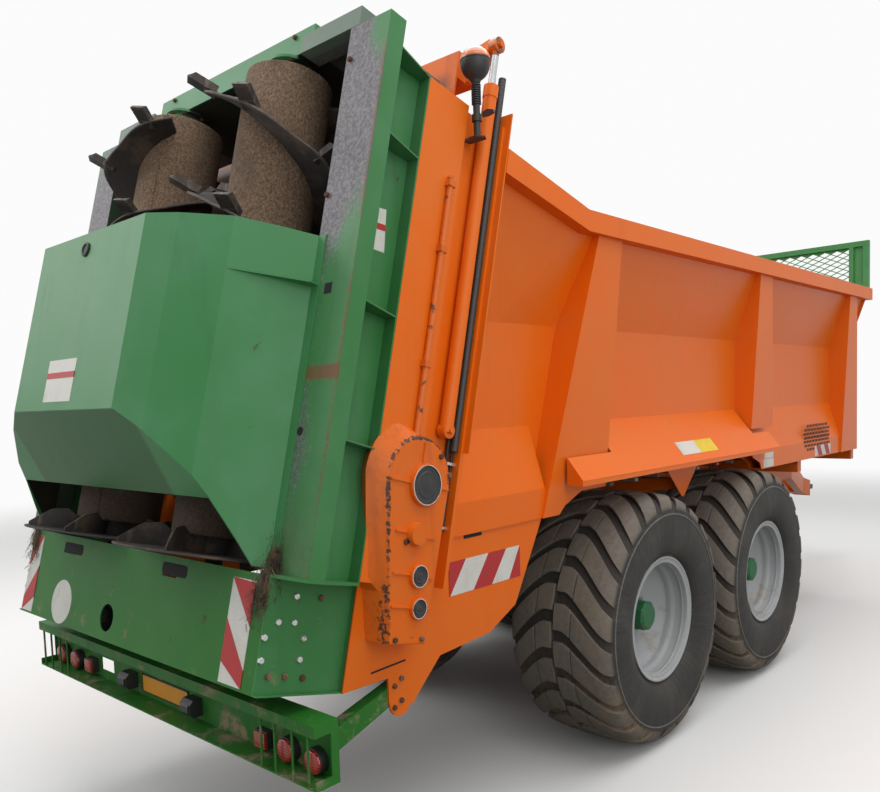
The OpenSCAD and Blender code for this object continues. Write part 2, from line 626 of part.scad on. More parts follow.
cheek_outline = [[lean_y(cheek_v0, 0), lean_z(cheek_v0, 0)], [-2030, rear_z - 100], [-2030, rear_z - 206],
  [-1900, rear_z - 246], [-1720, rear_z - 86], [-1380, rear_z - 66], [-1180, rear_z + 24], [-950, sill_z],
  [lean_y(frame_v1, lean_up(frame_v1, sill_z)), sill_z],
  [lean_y(frame_v1, cheek_top), lean_z(frame_v1, cheek_top)],
  [lean_y(frame_v0 + 12, cheek_top), lean_z(frame_v0 + 12, cheek_top)],
  [lean_y(frame_v0 + 12, tail_h + 10), lean_z(frame_v0 + 12, tail_h + 10)],
  [lean_y(cheek_v0, tail_h + 10), lean_z(cheek_v0, tail_h + 10)]];
lobe = [-1965, rear_z - 214, 60];
guide_v = [gate_v - 12 - 8, gate_v + gate_t + 8];
module rear_frame(s) color(orange) {
  in_lean() side(s) {
    translate([0, 0, frame_w0]) linear_extrude(height = frame_top - frame_w0) difference() {
      polygon(frame_outer);
      polygon(frame_inner);
    }
    translate([0, 0, frame_top - 8]) linear_extrude(height = 8) polygon(frame_outer);
    for (v = guide_v) block([frame_in - 45, v, gate_w0 - 100], [frame_in, v + 12, frame_top]);
    translate([0, frame_v1 - 8, frame_top]) block([frame_in, 0, 0], [rail_x - 4, 8, 60]);
    translate([0, frame_v1 - 8, 0]) block([ridge_x - 6, 0, 1000], [rail_x - 4, 8, frame_top]);
    translate([recess_x - 2, cyl_v, barrel_w0 + 28]) rotate([0, 90, 0])
      cylinder(r = pin_eye_r, h = 2 * barrel_r + 14, $fn = 32);
  }
  place() side(s) across(cheek_x - cheek_t, cheek_t) difference() {
    union() {
      polygon(cheek_outline);
      translate([lobe[0], lobe[1]]) circle(r = lobe[2], $fn = 48);
    }
  }
}

// Sliding gate: a ribbed sheet hung from a box beam that the rods lift
gate_x = frame_in - 10;
module gate() color(orange) in_lean() {
  block([-gate_x, gate_v, gate_w0], [gate_x, gate_v + gate_t, gate_beam_w + 20]);
  for (w = [gate_w0 + 40 : 500 : gate_beam_w - 100])
    block([-gate_x + 60, gate_v + gate_t - 2, w], [gate_x - 60, gate_v + gate_t + 50, w + 50]);
  block([-gate_x, gate_v, gate_beam_w], [gate_x, gate_v + 90, gate_beam_w + 120]);
  for (s = sides) side(s) {
    translate([0, cyl_v + 30, 0]) rotate([90, 0, 0]) linear_extrude(height = 60)
      polygon([[gate_x - 150, gate_beam_w + 6], [gate_x - 150, gate_beam_w + 114],
        [cyl_x - eye_t / 2 - 1, eye_w + 24], [cyl_x - eye_t / 2 - 1, eye_w - 24],
        [gate_x + 12, gate_beam_w + 6]]);
    translate([cyl_x - eye_t / 2 - 10, cyl_v, eye_w]) rotate([0, 90, 0])
      cylinder(r = pin_eye_r, h = eye_t + 22, $fn = 32);
  }
}
module gate_rods() color(silver) in_lean() for (s = sides) side(s) difference() {
  union() {
    translate([cyl_x, cyl_v, bore_w0 + 20]) cylinder(r = rod_r, h = eye_w - bore_w0 - 20, $fn = 48);
    translate([cyl_x - eye_t / 2, cyl_v, eye_w]) rotate([0, 90, 0]) cylinder(r = eye_r, h = eye_t, $fn = 48);
  }
  translate([cyl_x - eye_t, cyl_v, eye_w]) rotate([0, 90, 0])
    cylinder(r = pin_eye_r + run_gap, h = 2 * eye_t, $fn = 48);
}
module gate_barrels() color(orange) in_lean() for (s = sides) side(s) difference() {
  union() {
    translate([cyl_x, cyl_v, barrel_w0 + 20]) cylinder(r = barrel_r, h = barrel_w1 - barrel_w0 - 20, $fn = 48);
    translate([cyl_x, cyl_v, barrel_w1 - 55]) cylinder(r = barrel_r + 3, h = 55, $fn = 48);
    translate([cyl_x - eye_t / 2, cyl_v, barrel_w0 + 28]) rotate([0, 90, 0])
      cylinder(r = 33, h = eye_t, $fn = 48);
  }
  translate([cyl_x, cyl_v, bore_w0]) cylinder(r = rod_r + run_gap, h = barrel_w1, $fn = 48);
  translate([cyl_x - eye_t, cyl_v, barrel_w0 + 28]) rotate([0, 90, 0])
    cylinder(r = pin_eye_r + run_gap, h = 2 * eye_t, $fn = 48);
}

// Pipes in the recess: the lamp cable's conduit and the gate's oil hose
conduit_r = 13;
conduit_v = 512;
hose_r = 17;
hose_x = cyl_x;
module pipes() color(dark) in_lean() {
  translate([frame_x + conduit_r + run_gap, conduit_v, 1020]) cylinder(r = conduit_r, h = 1084, $fn = 32);
  translate([hose_x, recess_v1 - hose_r - run_gap, 1000]) cylinder(r = hose_r, h = 1670, $fn = 32);
}

// Beacon: an amber dome on a black bowl, on an upright stalk from the frame
beacon_y = -1488;
beacon_x = 1150;
beacon_z = 3424;
beacon_r = 64;
stalk_r = 15;
stalk_z = 3108;
module beacon() color(orange) difference() {
  place() union() {
    translate([beacon_x, beacon_y, stalk_z]) cylinder(r = stalk_r, h = beacon_z - 60 - stalk_z, $fn = 32);
    translate([beacon_x, beacon_y, beacon_z - 76]) rotate_extrude($fn = 48) polygon([[0, 0], [24, 0], [46, 14],
      [beacon_r - 2, 50], [beacon_r, 76], [beacon_r - 6, 104], [beacon_r - 22, 124], [24, 135], [0, 138]]);
    block([recess_x - 30, beacon_y - 30, stalk_z], [beacon_x + stalk_r + 6, beacon_y + 30, stalk_z + 10]);
  }
  in_lean() translate([0, 0, frame_w0]) linear_extrude(height = frame_top) polygon(frame_outer);
}

// Gearcase: a bolted case on the right cheek, with the shaft hubs on its cover
case_x0 = cheek_x;
case_x1 = 1128;
case_x2 = 1162;
case_top = [478, 800, 205];
// Hubs on the cover: [ahead, up, radius, length]
case_hubs = [[560, 835, 82, 22], [520, 610, 46, 26], [580, 478, 52, 18], [585, 352, 48, 18]];
module case_outline(inset) {
  intersection() {
    union() {
      translate([case_top[0], case_top[1]]) circle(r = case_top[2] - inset, $fn = 96);
      polygon([[case_top[0] - case_top[2] + inset, case_top[1]],
        [case_top[0] + case_top[2] - inset, case_top[1]],
        [690 - inset, 230 + inset], [350 + inset, 225 + inset]]);
    }
    square([900, 1200]);
  }
}
module gearcase() color(orange) in_lean() {
  difference() {
    across(case_x0, case_x1 - case_x0) case_outline(16);
    block([0, 0, 0], [2000, frame_v0 + 14, 2000]);
    translate([0, 0, frame_w0]) linear_extrude(height = frame_top) polygon(frame_outer);
  }
  across(case_x1, case_x2 - case_x1) case_outline(0);
  for (h = case_hubs) translate([case_x2, h[0], h[1]]) rotate([0, 90, 0])
    cylinder(r = h[2], h = h[3], $fn = 48);
}

// Beater unit's side: a post, a set-back wall with shelves and a lower cheek
post_in = post_x - post_w;
unit_x = frame_x - 60;
wall_top = frame_top;
shelf_ws = [930, 1450, 2100];
side_plan = [[post_in, post_v], [post_x, post_v], [post_x, post_v + post_d],
  [post_x - plate_t, post_v + post_d], [post_x - plate_t, post_v + plate_t],
  [post_in + plate_t, post_v + plate_t], [post_in + plate_t, post_v + post_d - plate_t],
  [unit_x, post_v + post_d - plate_t], [unit_x, frame_v0 - plate_t],
  [frame_x - 2, frame_v0 - plate_t], [frame_x - 2, frame_v0], [unit_x - plate_t, frame_v0],
  [unit_x - plate_t, post_v + post_d], [post_in, post_v + post_d]];
shelf_plan = [[unit_x - 2, post_v + post_d - plate_t], [post_x - 2, post_v + post_d - plate_t],
  [frame_x - 2, frame_v0 - 2], [unit_x - 2, frame_v0 - 2]];
module beater_side(s) color(green) in_lean() side(s) {
  translate([0, 0, tail_h]) linear_extrude(height = wall_top - tail_h) polygon(side_plan);
  translate([0, 0, wall_top]) linear_extrude(height = post_top - wall_top) intersection() {
    polygon(side_plan);
    square([2000, post_v + post_d]);
  }
  translate([0, 0, post_top - plate_t]) linear_extrude(height = plate_t)
    polygon([[post_in, post_v], [post_x, post_v], [post_x, post_v + post_d], [post_in, post_v + post_d]]);
  for (w = shelf_ws) translate([0, 0, w]) linear_extrude(height = plate_t) polygon(shelf_plan);
  translate([0, 0, wall_top - plate_t]) linear_extrude(height = plate_t) polygon(shelf_plan);
  translate([0, 0, tail_h - plate_t]) linear_extrude(height = 2 * plate_t)
    polygon([[tail_x - plate_t, 0], [tail_x, 0], [post_x, post_v], [post_x, post_v + post_d],
      [frame_x - 2, frame_v0], [tail_x - plate_t, frame_v0]]);
  block([tail_x - plate_t, 0, 0], [tail_x, 400, tail_h]);
  block([tail_x, 394, 0], [cheek_x - cheek_t, 400, tail_h - plate_t]);
  block([tail_x, 0, 0], [tail_x + 22, 394, plate_t]);
}

// Top beam: a box across the posts with the beaters' upper bearings
beam_end_x = 560;
beam_v0 = 90;
roof_v1 = gate_v - 40;
bearing_h = 70;
module top_beam() color(green) in_lean() difference() {
  union() {
    block([-post_in, beam_v0, beam_w0], [post_in, beam_v0 + 80, beam_w1]);
    block([-post_in, beam_v0, beam_w0], [post_in, roof_v1, beam_w0 + plate_t]);
    for (s = sides) side(s) {
      block([post_in - 8, post_v + plate_t, wall_top - 30], [post_in, roof_v1, beam_w0 + plate_t]);
      translate([beater_x, beater_v, beam_w0 - bearing_h]) cylinder(r = 78, h = bearing_h + 1, $fn = 48);
      block([beam_end_x, beam_v0 - 34, beam_w1 - 72], [post_in, beam_v0 + 1, beam_w1 + 6]);
    }
  }
  for (s = sides) translate([s * beater_x, beater_v, beam_w0 - bearing_h - 1])
    cylinder(r = shaft_r + run_gap, h = bearing_h + 41, $fn = 48);
}

// Tailboard: the lower box of the beater unit with its bed plate
window = [110, 48];
tail_lip_w = tail_h - 60;
module tailboard() color(green) in_lean() difference() {
  union() {
    block([-tail_x + plate_t, 0, 0], [tail_x - plate_t, plate_t, tail_h]);
    block([-tail_x + plate_t, plate_t, 0], [tail_x - plate_t, 400, plate_t]);
    block([-tail_x + plate_t, plate_t, tail_lip_w], [tail_x - plate_t, 40, tail_lip_w + plate_t]);
    block([-tail_x + plate_t, 394, plate_t], [tail_x - plate_t, 400, 36]);
  }
  for (x = [-590, 350]) block([x - window[0] / 2, -20, 336], [x + window[0] / 2, 20, 336 + window[1]]);
  translate([-110, 30, 100]) rotate([90, 0, 0]) cylinder(r = 60, h = 60, $fn = 48);
}

// Beater gearbox: two upright cases on a cross tube, fed by the drive line
box_r = 135;
module beater_gearbox() color(dark) difference() {
  union() {
    in_lean() {
      for (s = sides) translate([s * beater_x, beater_v, plate_t])
        cylinder(r = box_r, h = tail_lip_w - 2 * plate_t, $fn = 64);
      block([-beater_x, beater_v - 60, 120], [beater_x, beater_v + 60, 260]);
      block([-110, beater_v - 100, plate_t], [110, beater_v + 120, 300]);
    }
    place() translate([0, -2410, drive_z]) rotate([-90, 0, 0]) cylinder(r = 82, h = 470, $fn = 48);
  }
  in_lean() for (s = sides) translate([s * beater_x, beater_v, 60])
    cylinder(r = shaft_r + run_gap, h = 500, $fn = 48);
  place() translate([0, drive_y0 - 5, drive_z]) rotate([-90, 0, 0])
    cylinder(r = drive_r + run_gap, h = 400, $fn = 48);
}

// Beaters: a drum with two flights, teeth on their edges and a disc below
flight_steps = 18;
flight_n = floor((drum_w1 - flight_w0 - 20) * flight_steps / flight_pitch);
tooth_n = floor(flight_n * teeth_turn / flight_steps);
flight_cut = [[drum_r - 6, 0], [flight_r, 0], [flight_r, flight_t], [drum_r - 6, flight_t]];
function flight_points(n, start) = [for (i = [0 : n]) for (q = flight_cut)
  let (a = start + 360 * i / flight_steps, z = flight_pitch * i / flight_steps)
  [q[0] * cos(a), q[0] * sin(a), z + q[1]]];
function flight_faces(n) = concat([[3, 2, 1, 0]], [[4 * n, 4 * n + 1, 4 * n + 2, 4 * n + 3]],
  [for (i = [0 : n - 1]) for (k = [0 : 3])
    let (a = 4 * i + k, b = 4 * i + (k + 1) % 4) for (f = [[a, b, b + 4], [a, b + 4, a + 4]]) f]);
// A knife: a channel bolted to the flight's edge, tipped up at its outer end
tooth = [128, 62, 34];
tooth_rise = 18;
module knife() translate([tooth_r - tooth[0] + 5, 0, 0]) rotate([0, -tooth_rise, 0]) difference() {
  translate([0, -tooth[1] / 2, 0]) cube(tooth);
  translate([45, -tooth[1] / 2 + 9, 12]) cube([tooth[0], tooth[1] - 18, tooth[2]]);
}
module beater(s) color(steel) in_lean() side(s) translate([beater_x, beater_v, 0]) mirror([1, 0, 0]) {
  translate([0, 0, 70]) cylinder(r = shaft_r, h = beam_w0 + 25 - 70, $fn = 48);
  translate([0, 0, drum_w0]) cylinder(r = drum_r, h = drum_w1 - drum_w0, $fn = 96);
  translate([0, 0, disc_w]) cylinder(r = disc_r, h = 10, $fn = 96);
  translate([0, 0, disc_w + 10]) cylinder(r = 90, h = drum_w0 - disc_w - 10, $fn = 48);
  for (a = [0 : 60 : 300]) rotate([0, 0, a]) translate([80, 0, disc_w + 10])
    rotate([0, 0, 12]) cube([disc_r - 92, 8, 70]);
  for (a = [0, 180]) translate([0, 0, flight_w0]) {
    polyhedron(flight_points(flight_n, a), flight_faces(flight_n), convexity = 10);
    for (i = [1 : tooth_n]) rotate([0, 0, a + 360 * i / teeth_turn])
      translate([0, 0, flight_pitch * i / teeth_turn]) knife();
  }
}

// Hood: a folded guard bolted to the posts behind the beaters
hood_plan = [[post_in + 45, post_v], [post_in + 45, post_v - plate_t], [post_in + 5, post_v - plate_t],
  [885, -75], [785, -232], [600, -350], [hood_x, -hood_out]];
hood_in = [[post_in - 2, post_v + 1], [879, -71], [780, -227], [597, -344], [hood_x - 2, -hood_out + plate_t]];
function mirror_x(list) = [for (i = [len(list) - 1 : -1 : 0]) [-list[i][0], list[i][1]]];
hood_slope = [[-hood_out, hood_w0], [-170, hood_lip], [-10, tail_h + 22], [post_v, tail_h + 22]];
gusset_w = 1500;
module hood_cut(extra) across(-2000, 4000) polygon(concat(hood_slope, extra));
module hood() color(green) in_lean() {
  intersection() {
    linear_extrude(height = 3000) difference() {
      polygon(concat(hood_plan, mirror_x(hood_plan)));
      polygon(concat(hood_in, mirror_x(hood_in)));
    }
    hood_cut([[post_v, hood_w1], [-hood_out, hood_w1]]);
  }
  intersection() {
    linear_extrude(height = 3000) polygon(concat(hood_in, mirror_x(hood_in)));
    across(-2000, 4000) polygon([[-hood_out, hood_w0], [-170, hood_lip], [-170, hood_lip + plate_t],
      [-hood_out, hood_w0 + plate_t + 2]]);
  }
  for (s = sides) side(s) translate([0, 0, gusset_w]) linear_extrude(height = plate_t) polygon([[787, -230],
    [post_in + 45, 0], [post_in + 45, post_v - plate_t], [post_in + 5, post_v - plate_t], [883, -74]]);
}

// Bumper: a channel that carries the lamps, on two arms from the cheek plates
bumper_y = -2510;
bumper_d = 110;
bumper_lip = 44;
web_y = bumper_y + bumper_d - plate_t;
bumper_z0 = bumper_z - bumper_h;
end_rim = 34;
arm_w = 55;
lamp_z = bumper_z0 + 59;
guard_r = 5;
guard_xs = [845, 930, 1035, 1125];
bumper_window = [-672, -540, 46, 112];
module bumper() color(green) place() difference() {
  union() {
    across(-bumper_x, 2 * bumper_x) polygon([[bumper_y, bumper_z], [web_y + plate_t, bumper_z],
      [web_y + plate_t, bumper_z0], [bumper_y, bumper_z0], [bumper_y, bumper_z0 + plate_t],
      [web_y, bumper_z0 + plate_t], [web_y, bumper_z - plate_t], [bumper_y + plate_t, bumper_z - plate_t],
      [bumper_y + plate_t, bumper_z - bumper_lip], [bumper_y, bumper_z - bumper_lip]]);
    for (s = sides) side(s) {
      across(bumper_x - plate_t, plate_t) difference() {
        translate([bumper_y, bumper_z0]) square([bumper_d, bumper_h]);
        translate([bumper_y - 1, bumper_z0 + end_rim])
          square([bumper_d + 1 - end_rim, bumper_h - end_rim - bumper_lip]);
      }
      across(cheek_x - cheek_t - arm_w, arm_w) polygon([[web_y + 1, bumper_z0 + 8],
        [web_y + 1, bumper_z0 + 105], [lobe[0] + 50, lobe[1] + 98], [lobe[0] + 50, lobe[1] + 23]]);
      for (x = guard_xs) translate([x, bumper_y + guard_r + 1, bumper_z0])
        cylinder(r = guard_r, h = bumper_h - 10, $fn = 24);
    }
  }
  block([bumper_window[0], web_y - 10, bumper_z0 + bumper_window[2]],
        [bumper_window[1], web_y + 20, bumper_z0 + bumper_window[3]]);
}

// Lamps: two round lamps and an oblong one at each end of the bumper
module lamps() color([0.6, 0.05, 0.04]) place() for (s = sides) side(s) {
  for (x = [905, 1068]) translate([x, web_y, lamp_z]) rotate([90, 0, 0]) cylinder(r = lamp_r, h = 50, $fn = 48);
  block([710, web_y - 42, lamp_z - 36], [785, web_y, lamp_z + 36]);
}

chassis();
drawbar();
tow_eye();
jack();
axles();
springs();
wheel_at(0, 1) hub();  // hub_rear_right
wheel_at(0, -1) hub();  // hub_rear_left
wheel_at(wheelbase, 1) hub();  // hub_front_right
wheel_at(wheelbase, -1) hub();  // hub_front_left
wheel_at(0, 1) rim();  // rim_rear_right
wheel_at(0, -1) rim();  // rim_rear_left
wheel_at(wheelbase, 1) rim();  // rim_front_right
wheel_at(wheelbase, -1) rim();  // rim_front_left
wheel_at(0, 1) tyre();  // tyre_rear_right
wheel_at(0, -1) tyre();  // tyre_rear_left
wheel_at(wheelbase, 1) tyre();  // tyre_front_right
wheel_at(wheelbase, -1) tyre();  // tyre_front_left
tub_floor();
side_wall(1);  // side_wall_right
side_wall(-1);  // side_wall_left
front_wall();
headboard();
mudguards();
conveyor();
conveyor_shaft();
drive_shaft();
rear_frame(1);  // rear_frame_right
rear_frame(-1);  // rear_frame_left
gate();
gate_rods();
gate_barrels();
pipes();
beacon();
gearcase();
beater_side(1);  // beater_side_right
beater_side(-1);  // beater_side_left
top_beam();
tailboard();
beater_gearbox();
beater(1);  // beater_right
beater(-1);  // beater_left
hood();
bumper();
lamps();
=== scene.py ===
import math

import bpy
import numpy as np
from mathutils import Matrix


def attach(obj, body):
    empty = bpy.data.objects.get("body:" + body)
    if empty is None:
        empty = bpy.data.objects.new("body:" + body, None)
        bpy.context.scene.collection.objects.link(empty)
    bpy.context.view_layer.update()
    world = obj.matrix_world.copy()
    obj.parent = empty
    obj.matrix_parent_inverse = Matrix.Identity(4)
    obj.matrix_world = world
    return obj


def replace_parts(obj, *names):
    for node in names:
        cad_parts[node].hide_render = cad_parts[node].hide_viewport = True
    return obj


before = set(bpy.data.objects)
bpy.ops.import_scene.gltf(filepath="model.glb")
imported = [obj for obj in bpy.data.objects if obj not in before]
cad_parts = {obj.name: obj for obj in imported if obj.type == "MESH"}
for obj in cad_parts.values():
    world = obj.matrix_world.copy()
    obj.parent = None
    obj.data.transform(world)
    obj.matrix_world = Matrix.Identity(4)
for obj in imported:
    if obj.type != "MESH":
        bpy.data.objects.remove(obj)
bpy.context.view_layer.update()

# The camera stands behind the right rear corner at eye height and looks along
# the machine, a little down, through a moderately wide lens.
camera_data = bpy.data.cameras.new("camera")
camera_data.sensor_width = 36.0
camera_data.lens = 33.30
camera_data.shift_y = 0.0729
camera_data.clip_end = 200.0
camera = bpy.data.objects.new("camera", camera_data)
camera.matrix_world = (Matrix.Translation((3.378, -5.897, 2.014))
                       @ Matrix.Rotation(math.radians(42.436), 4, "Z")
                       @ Matrix.Rotation(math.radians(85.811), 4, "X")
                       @ Matrix.Rotation(math.radians(-1.916), 4, "Z"))
bpy.context.scene.collection.objects.link(camera)
bpy.context.scene.camera = camera
bpy.context.scene.view_settings.view_transform = "Standard"


# The studio: an even white sky, one wide soft lamp above and two weak fills.
# Its shaders are built with the three small classes that every finish uses.
class Link:
    """A socket in a node tree. Arithmetic on it adds Math nodes: a + b, 1 - a and so on."""

    def __init__(self, finish, socket):
        self.finish, self.socket = finish, socket

    def __add__(self, other):
        return self.finish.math("ADD", self, other)

    __radd__ = __add__

    def __sub__(self, other):
        return self.finish.math("SUBTRACT", self, other)

    def __rsub__(self, other):
        return self.finish.math("SUBTRACT", other, self)

    def __mul__(self, other):
        return self.finish.math("MULTIPLY", self, other)

    def __abs__(self):
        return self.finish.math("ABSOLUTE", self)

    def clamp(self):
        """The value held between 0 and 1."""
        return self.finish.math("ADD", self, 0.0, clamp=True)

    def most(self, other):
        """The larger of the two values."""
        return self.finish.math("MAXIMUM", self, other)

    def step(self, low, high):
        """0 below low, 1 above high and a smooth S between them."""
        return self.finish.node("ShaderNodeMapRange", {"interpolation_type": "SMOOTHSTEP"},
                                {0: self, 1: low, 2: high, 3: 0.0, 4: 1.0})[0]


class Outputs:
    """A node's outputs, each as a Link, by name or number."""

    def __init__(self, finish, node):
        self.finish, self.made = finish, node

    def __getitem__(self, key):
        return Link(self.finish, self.made.outputs[key])


class Finish:
    """A node tree under construction, with one shader whose sockets are set by name."""

    def __init__(self, name, kind="ShaderNodeBsdfPrincipled", world=False):
        self.owner = bpy.data.worlds.new(name) if world else bpy.data.materials.new(name)
        self.owner.use_nodes = True
        self.tree = self.owner.node_tree
        self.tree.nodes.clear()
        self.end = self.tree.nodes.new("ShaderNodeOutputWorld" if world else "ShaderNodeOutputMaterial")
        self.shader = self.tree.nodes.new(kind)
        self.tree.links.new(self.shader.outputs[0], self.end.inputs[0])

    def fill(self, node, inputs):
        """Sets or links each named socket of the node."""
        for key, value in inputs.items():
            if isinstance(value, Link):
                self.tree.links.new(value.socket, node.inputs[key])
            else:
                node.inputs[key].default_value = value

    def node(self, kind, settings=None, inputs=None):
        """A new node of that kind: its settings first, then its sockets."""
        made = self.tree.nodes.new(kind)
        for key, value in (settings or {}).items():
            setattr(made, key, value)
        self.fill(made, inputs or {})
        return Outputs(self, made)

    def math(self, operation, *values, clamp=False):
        """The Math node of that operation on the values, in their order."""
        return self.node("ShaderNodeMath", {"operation": operation, "use_clamp": clamp},
                         dict(enumerate(values)))[0]

    def length(self, a, b):
        """The square root of a * a + b * b."""
        return self.math("SQRT", a * a + b * b)

    def place(self):
        """The point's place in Object coordinates, which are the machine's own metres, as a vector."""
        return self.node("ShaderNodeTexCoord")["Object"]

    def xyz(self):
        """The point's place as three values."""
        parts = self.node("ShaderNodeSeparateXYZ", {}, {0: self.place()})
        return parts[0], parts[1], parts[2]

    def mix(self, amount, a, b):
        """Colour a where amount is 0 and colour b where it is 1."""
        a, b = [colour if isinstance(colour, Link) else (*colour, 1.0) for colour in (a, b)]
        return self.node("ShaderNodeMix", {"data_type": "RGBA"}, {0: amount, 6: a, 7: b})[2]

    def cake(self, amount, tone, speck, dark, light):
        """The tone under dirt that runs from dark to light with its specks; amount says how much."""
        return self.mix(amount, tone, self.mix(speck, dark, light))

    def set(self, **sockets):
        """Sets the main shader's sockets; an underscore stands for a space."""
        self.fill(self.shader, {key.replace("_", " "): value for key, value in sockets.items()})
        return self.owner


sky = Finish("studio_sky", "ShaderNodeBackground", world=True)
rays = sky.node("ShaderNodeLightPath")
seen = (rays["Is Camera Ray"] + rays["Is Glossy Ray"] * 0.75 + rays["Is Transmission Ray"]).clamp()
sky.set(Color=(1.0, 1.0, 1.0, 1.0), Strength=seen * 0.55 + 0.42)
bpy.context.scene.world = sky.owner


def soft_lamp(name, size, watts, place, turn):
    """A square area lamp of that size in metres, at a place, turned by degrees about X then Z."""
    lamp = bpy.data.lights.new(name, "AREA")
    lamp.size, lamp.energy = size, watts
    made = bpy.data.objects.new(name, lamp)
    made.location = place
    made.rotation_euler = (math.radians(turn[0]), 0.0, math.radians(turn[1]))
    bpy.context.scene.collection.objects.link(made)


soft_lamp("lamp_above", 12.0, 1150.0, (1.5, -1.0, 10.0), (0, 0))
soft_lamp("lamp_side", 7.0, 240.0, (9.0, -5.5, 4.5), (68, 58))
soft_lamp("lamp_left", 7.0, 380.0, (-7.5, -9.0, 7.5), (57, -40))

floor_mesh = bpy.data.meshes.new("floor")
floor_mesh.from_pydata([(-60, -60, 0), (60, -60, 0), (60, 60, 0), (-60, 60, 0)], [], [(0, 1, 2, 3)])
floor = bpy.data.objects.new("floor", floor_mesh)
bpy.context.scene.collection.objects.link(floor)
ground = Finish("studio_floor")
apart = ground.node("ShaderNodeVectorMath", {"operation": "LENGTH"}, {0: ground.place()})["Value"]
far = apart.step(7.5, 17.0)
rays = ground.node("ShaderNodeLightPath")
seen = (rays["Is Camera Ray"] + rays["Is Glossy Ray"] * 0.5).clamp()
plain = ground.set(Base_Color=ground.mix(seen, (0.13, 0.135, 0.12), (0.80, 0.80, 0.79)), Roughness=0.9)
glow = ground.node("ShaderNodeEmission", {}, {"Color": (1.0, 1.0, 1.0, 1.0), "Strength": 0.97})
blend = ground.node("ShaderNodeMixShader", {},
                    {0: far, 1: Link(ground, ground.shader.outputs[0]), 2: glow[0]})
ground.tree.links.new(blend[0].socket, ground.end.inputs[0])
floor_mesh.materials.append(plain)


# Painted sheet and plate: the orange and green enamel over steel. It fades to
# a dusty tone on top, is splashed with tan mud low down, and chips to rust.
def noise(finish, scale, detail=4.0, stretch=(1.0, 1.0, 1.0), rough=0.55, shift=(0.0, 0.0, 0.0)):
    """Fractal noise of the object's own place, scaled per axis; about 0.5 in the mean."""
    where = finish.node("ShaderNodeMapping", {},
                        {"Vector": finish.place(), "Scale": stretch, "Location": shift})[0]
    return finish.node("ShaderNodeTexNoise", {},
                       {"Vector": where, "Scale": scale, "Detail": detail, "Roughness": rough})[0]


def bumps(finish, value, distance, strength=1.0):
    """The normal of a surface raised by value times distance, in metres."""
    return finish.node("ShaderNodeBump", {}, {"Strength": strength, "Distance": distance, "Height": value})[0]


RUST = (0.13, 0.055, 0.028)
MUD = (0.30, 0.235, 0.155)


def enamel(name, colour, faded, chips=0.5, mud=0.5, stains=0.3, gloss=0.34, over=None):
    """Old enamel: colour to faded by broad patches, streaks down the sheet, mud below, chips through to rust.
    The function over, where given, turns the finished tone into one with the wear of a single place."""
    paint = Finish(name)
    broad = noise(paint, 1.1, 3.0)
    patch = noise(paint, 4.5, 5.0, shift=(7.0, 2.0, 1.0))
    streak = noise(paint, 9.0, 4.0, stretch=(1.0, 1.0, 0.07), shift=(3.0, 0.0, 5.0))
    fine = noise(paint, 60.0, 5.0, rough=0.7)
    tone = paint.mix((broad.step(0.35, 0.72) * 0.6 + patch.step(0.4, 0.75) * 0.4).clamp(), colour, faded)
    grime = (streak.step(0.55, 0.80) * stains * (0.45 + patch * 0.9)).clamp()
    tone = paint.mix(grime, tone, [c * 0.42 + 0.02 for c in colour])
    splash = noise(paint, 7.0, 8.0, rough=0.68, shift=(1.0, 9.0, 4.0)) + (1.25 - paint.xyz()[2]) * 0.16
    dust = ((splash + mud * 0.12 - 0.12).step(0.56, 0.74) * mud * 1.5).clamp()
    tone = paint.mix(dust, tone, MUD)
    bare = 0.735 - chips * 0.06
    chip = noise(paint, 13.0, 10.0, rough=0.72, shift=(4.0, 4.0, 8.0))
    chip = (chip + fine * 0.05).step(bare, bare + 0.020)
    tone = paint.mix(chip, tone, RUST)
    if over:
        tone = over(paint, tone)
    rough = gloss + broad * 0.16 + dust * 0.4 + chip * 0.35 + grime * 0.15
    relief = fine * 0.15 - chip * 0.6 + dust * 0.5 + noise(paint, 260.0, 2.0) * 0.10
    paint.set(Base_Color=tone, Roughness=rough.clamp(), Normal=bumps(paint, relief, 0.0012),
              Coat_Roughness=0.25)
    paint.shader.inputs["Coat Weight"].default_value = 0.05
    paint.shader.inputs["Specular IOR Level"].default_value = 0.25
    return paint.owner


def wear(names, material):
    """Gives the CAD pieces of those names that material in every slot."""
    for name in names:
        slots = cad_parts[name].data.materials
        for i in range(max(1, len(slots))):
            if i < len(slots):
                slots[i] = material
            else:
                slots.append(material)


def orange_sheet(name, over=None):
    """The tub's orange enamel, faded and lightly worn, with the wear of one place over it."""
    return enamel(name, (0.80, 0.140, 0.002), (0.76, 0.165, 0.016), chips=0.25, mud=0.35, stains=0.12,
                  over=over)


orange_worn = enamel("orange_enamel_worn", (0.72, 0.130, 0.002), (0.66, 0.155, 0.020),
                     chips=0.9, mud=0.6, stains=0.45)
wear(["mudguards", "gate_barrels"], orange_sheet("orange_enamel"))
wear(["drawbar"], orange_worn)
wear(["headboard"], enamel("green_enamel", (0.040, 0.200, 0.052), (0.068, 0.235, 0.088),
                           chips=0.35, mud=0.45, stains=0.3))
# Painted shade: the tailboard's and bumper's base green is darker than the hood's, for the shade on these low
# faces; the chips, mud and stains are wear.
wear(["tailboard", "bumper"], enamel("green_enamel_worn_and_shaded", (0.015, 0.140, 0.012), (0.036, 0.170, 0.030),
                                     chips=1.0, mud=0.7, stains=0.8, gloss=0.45))


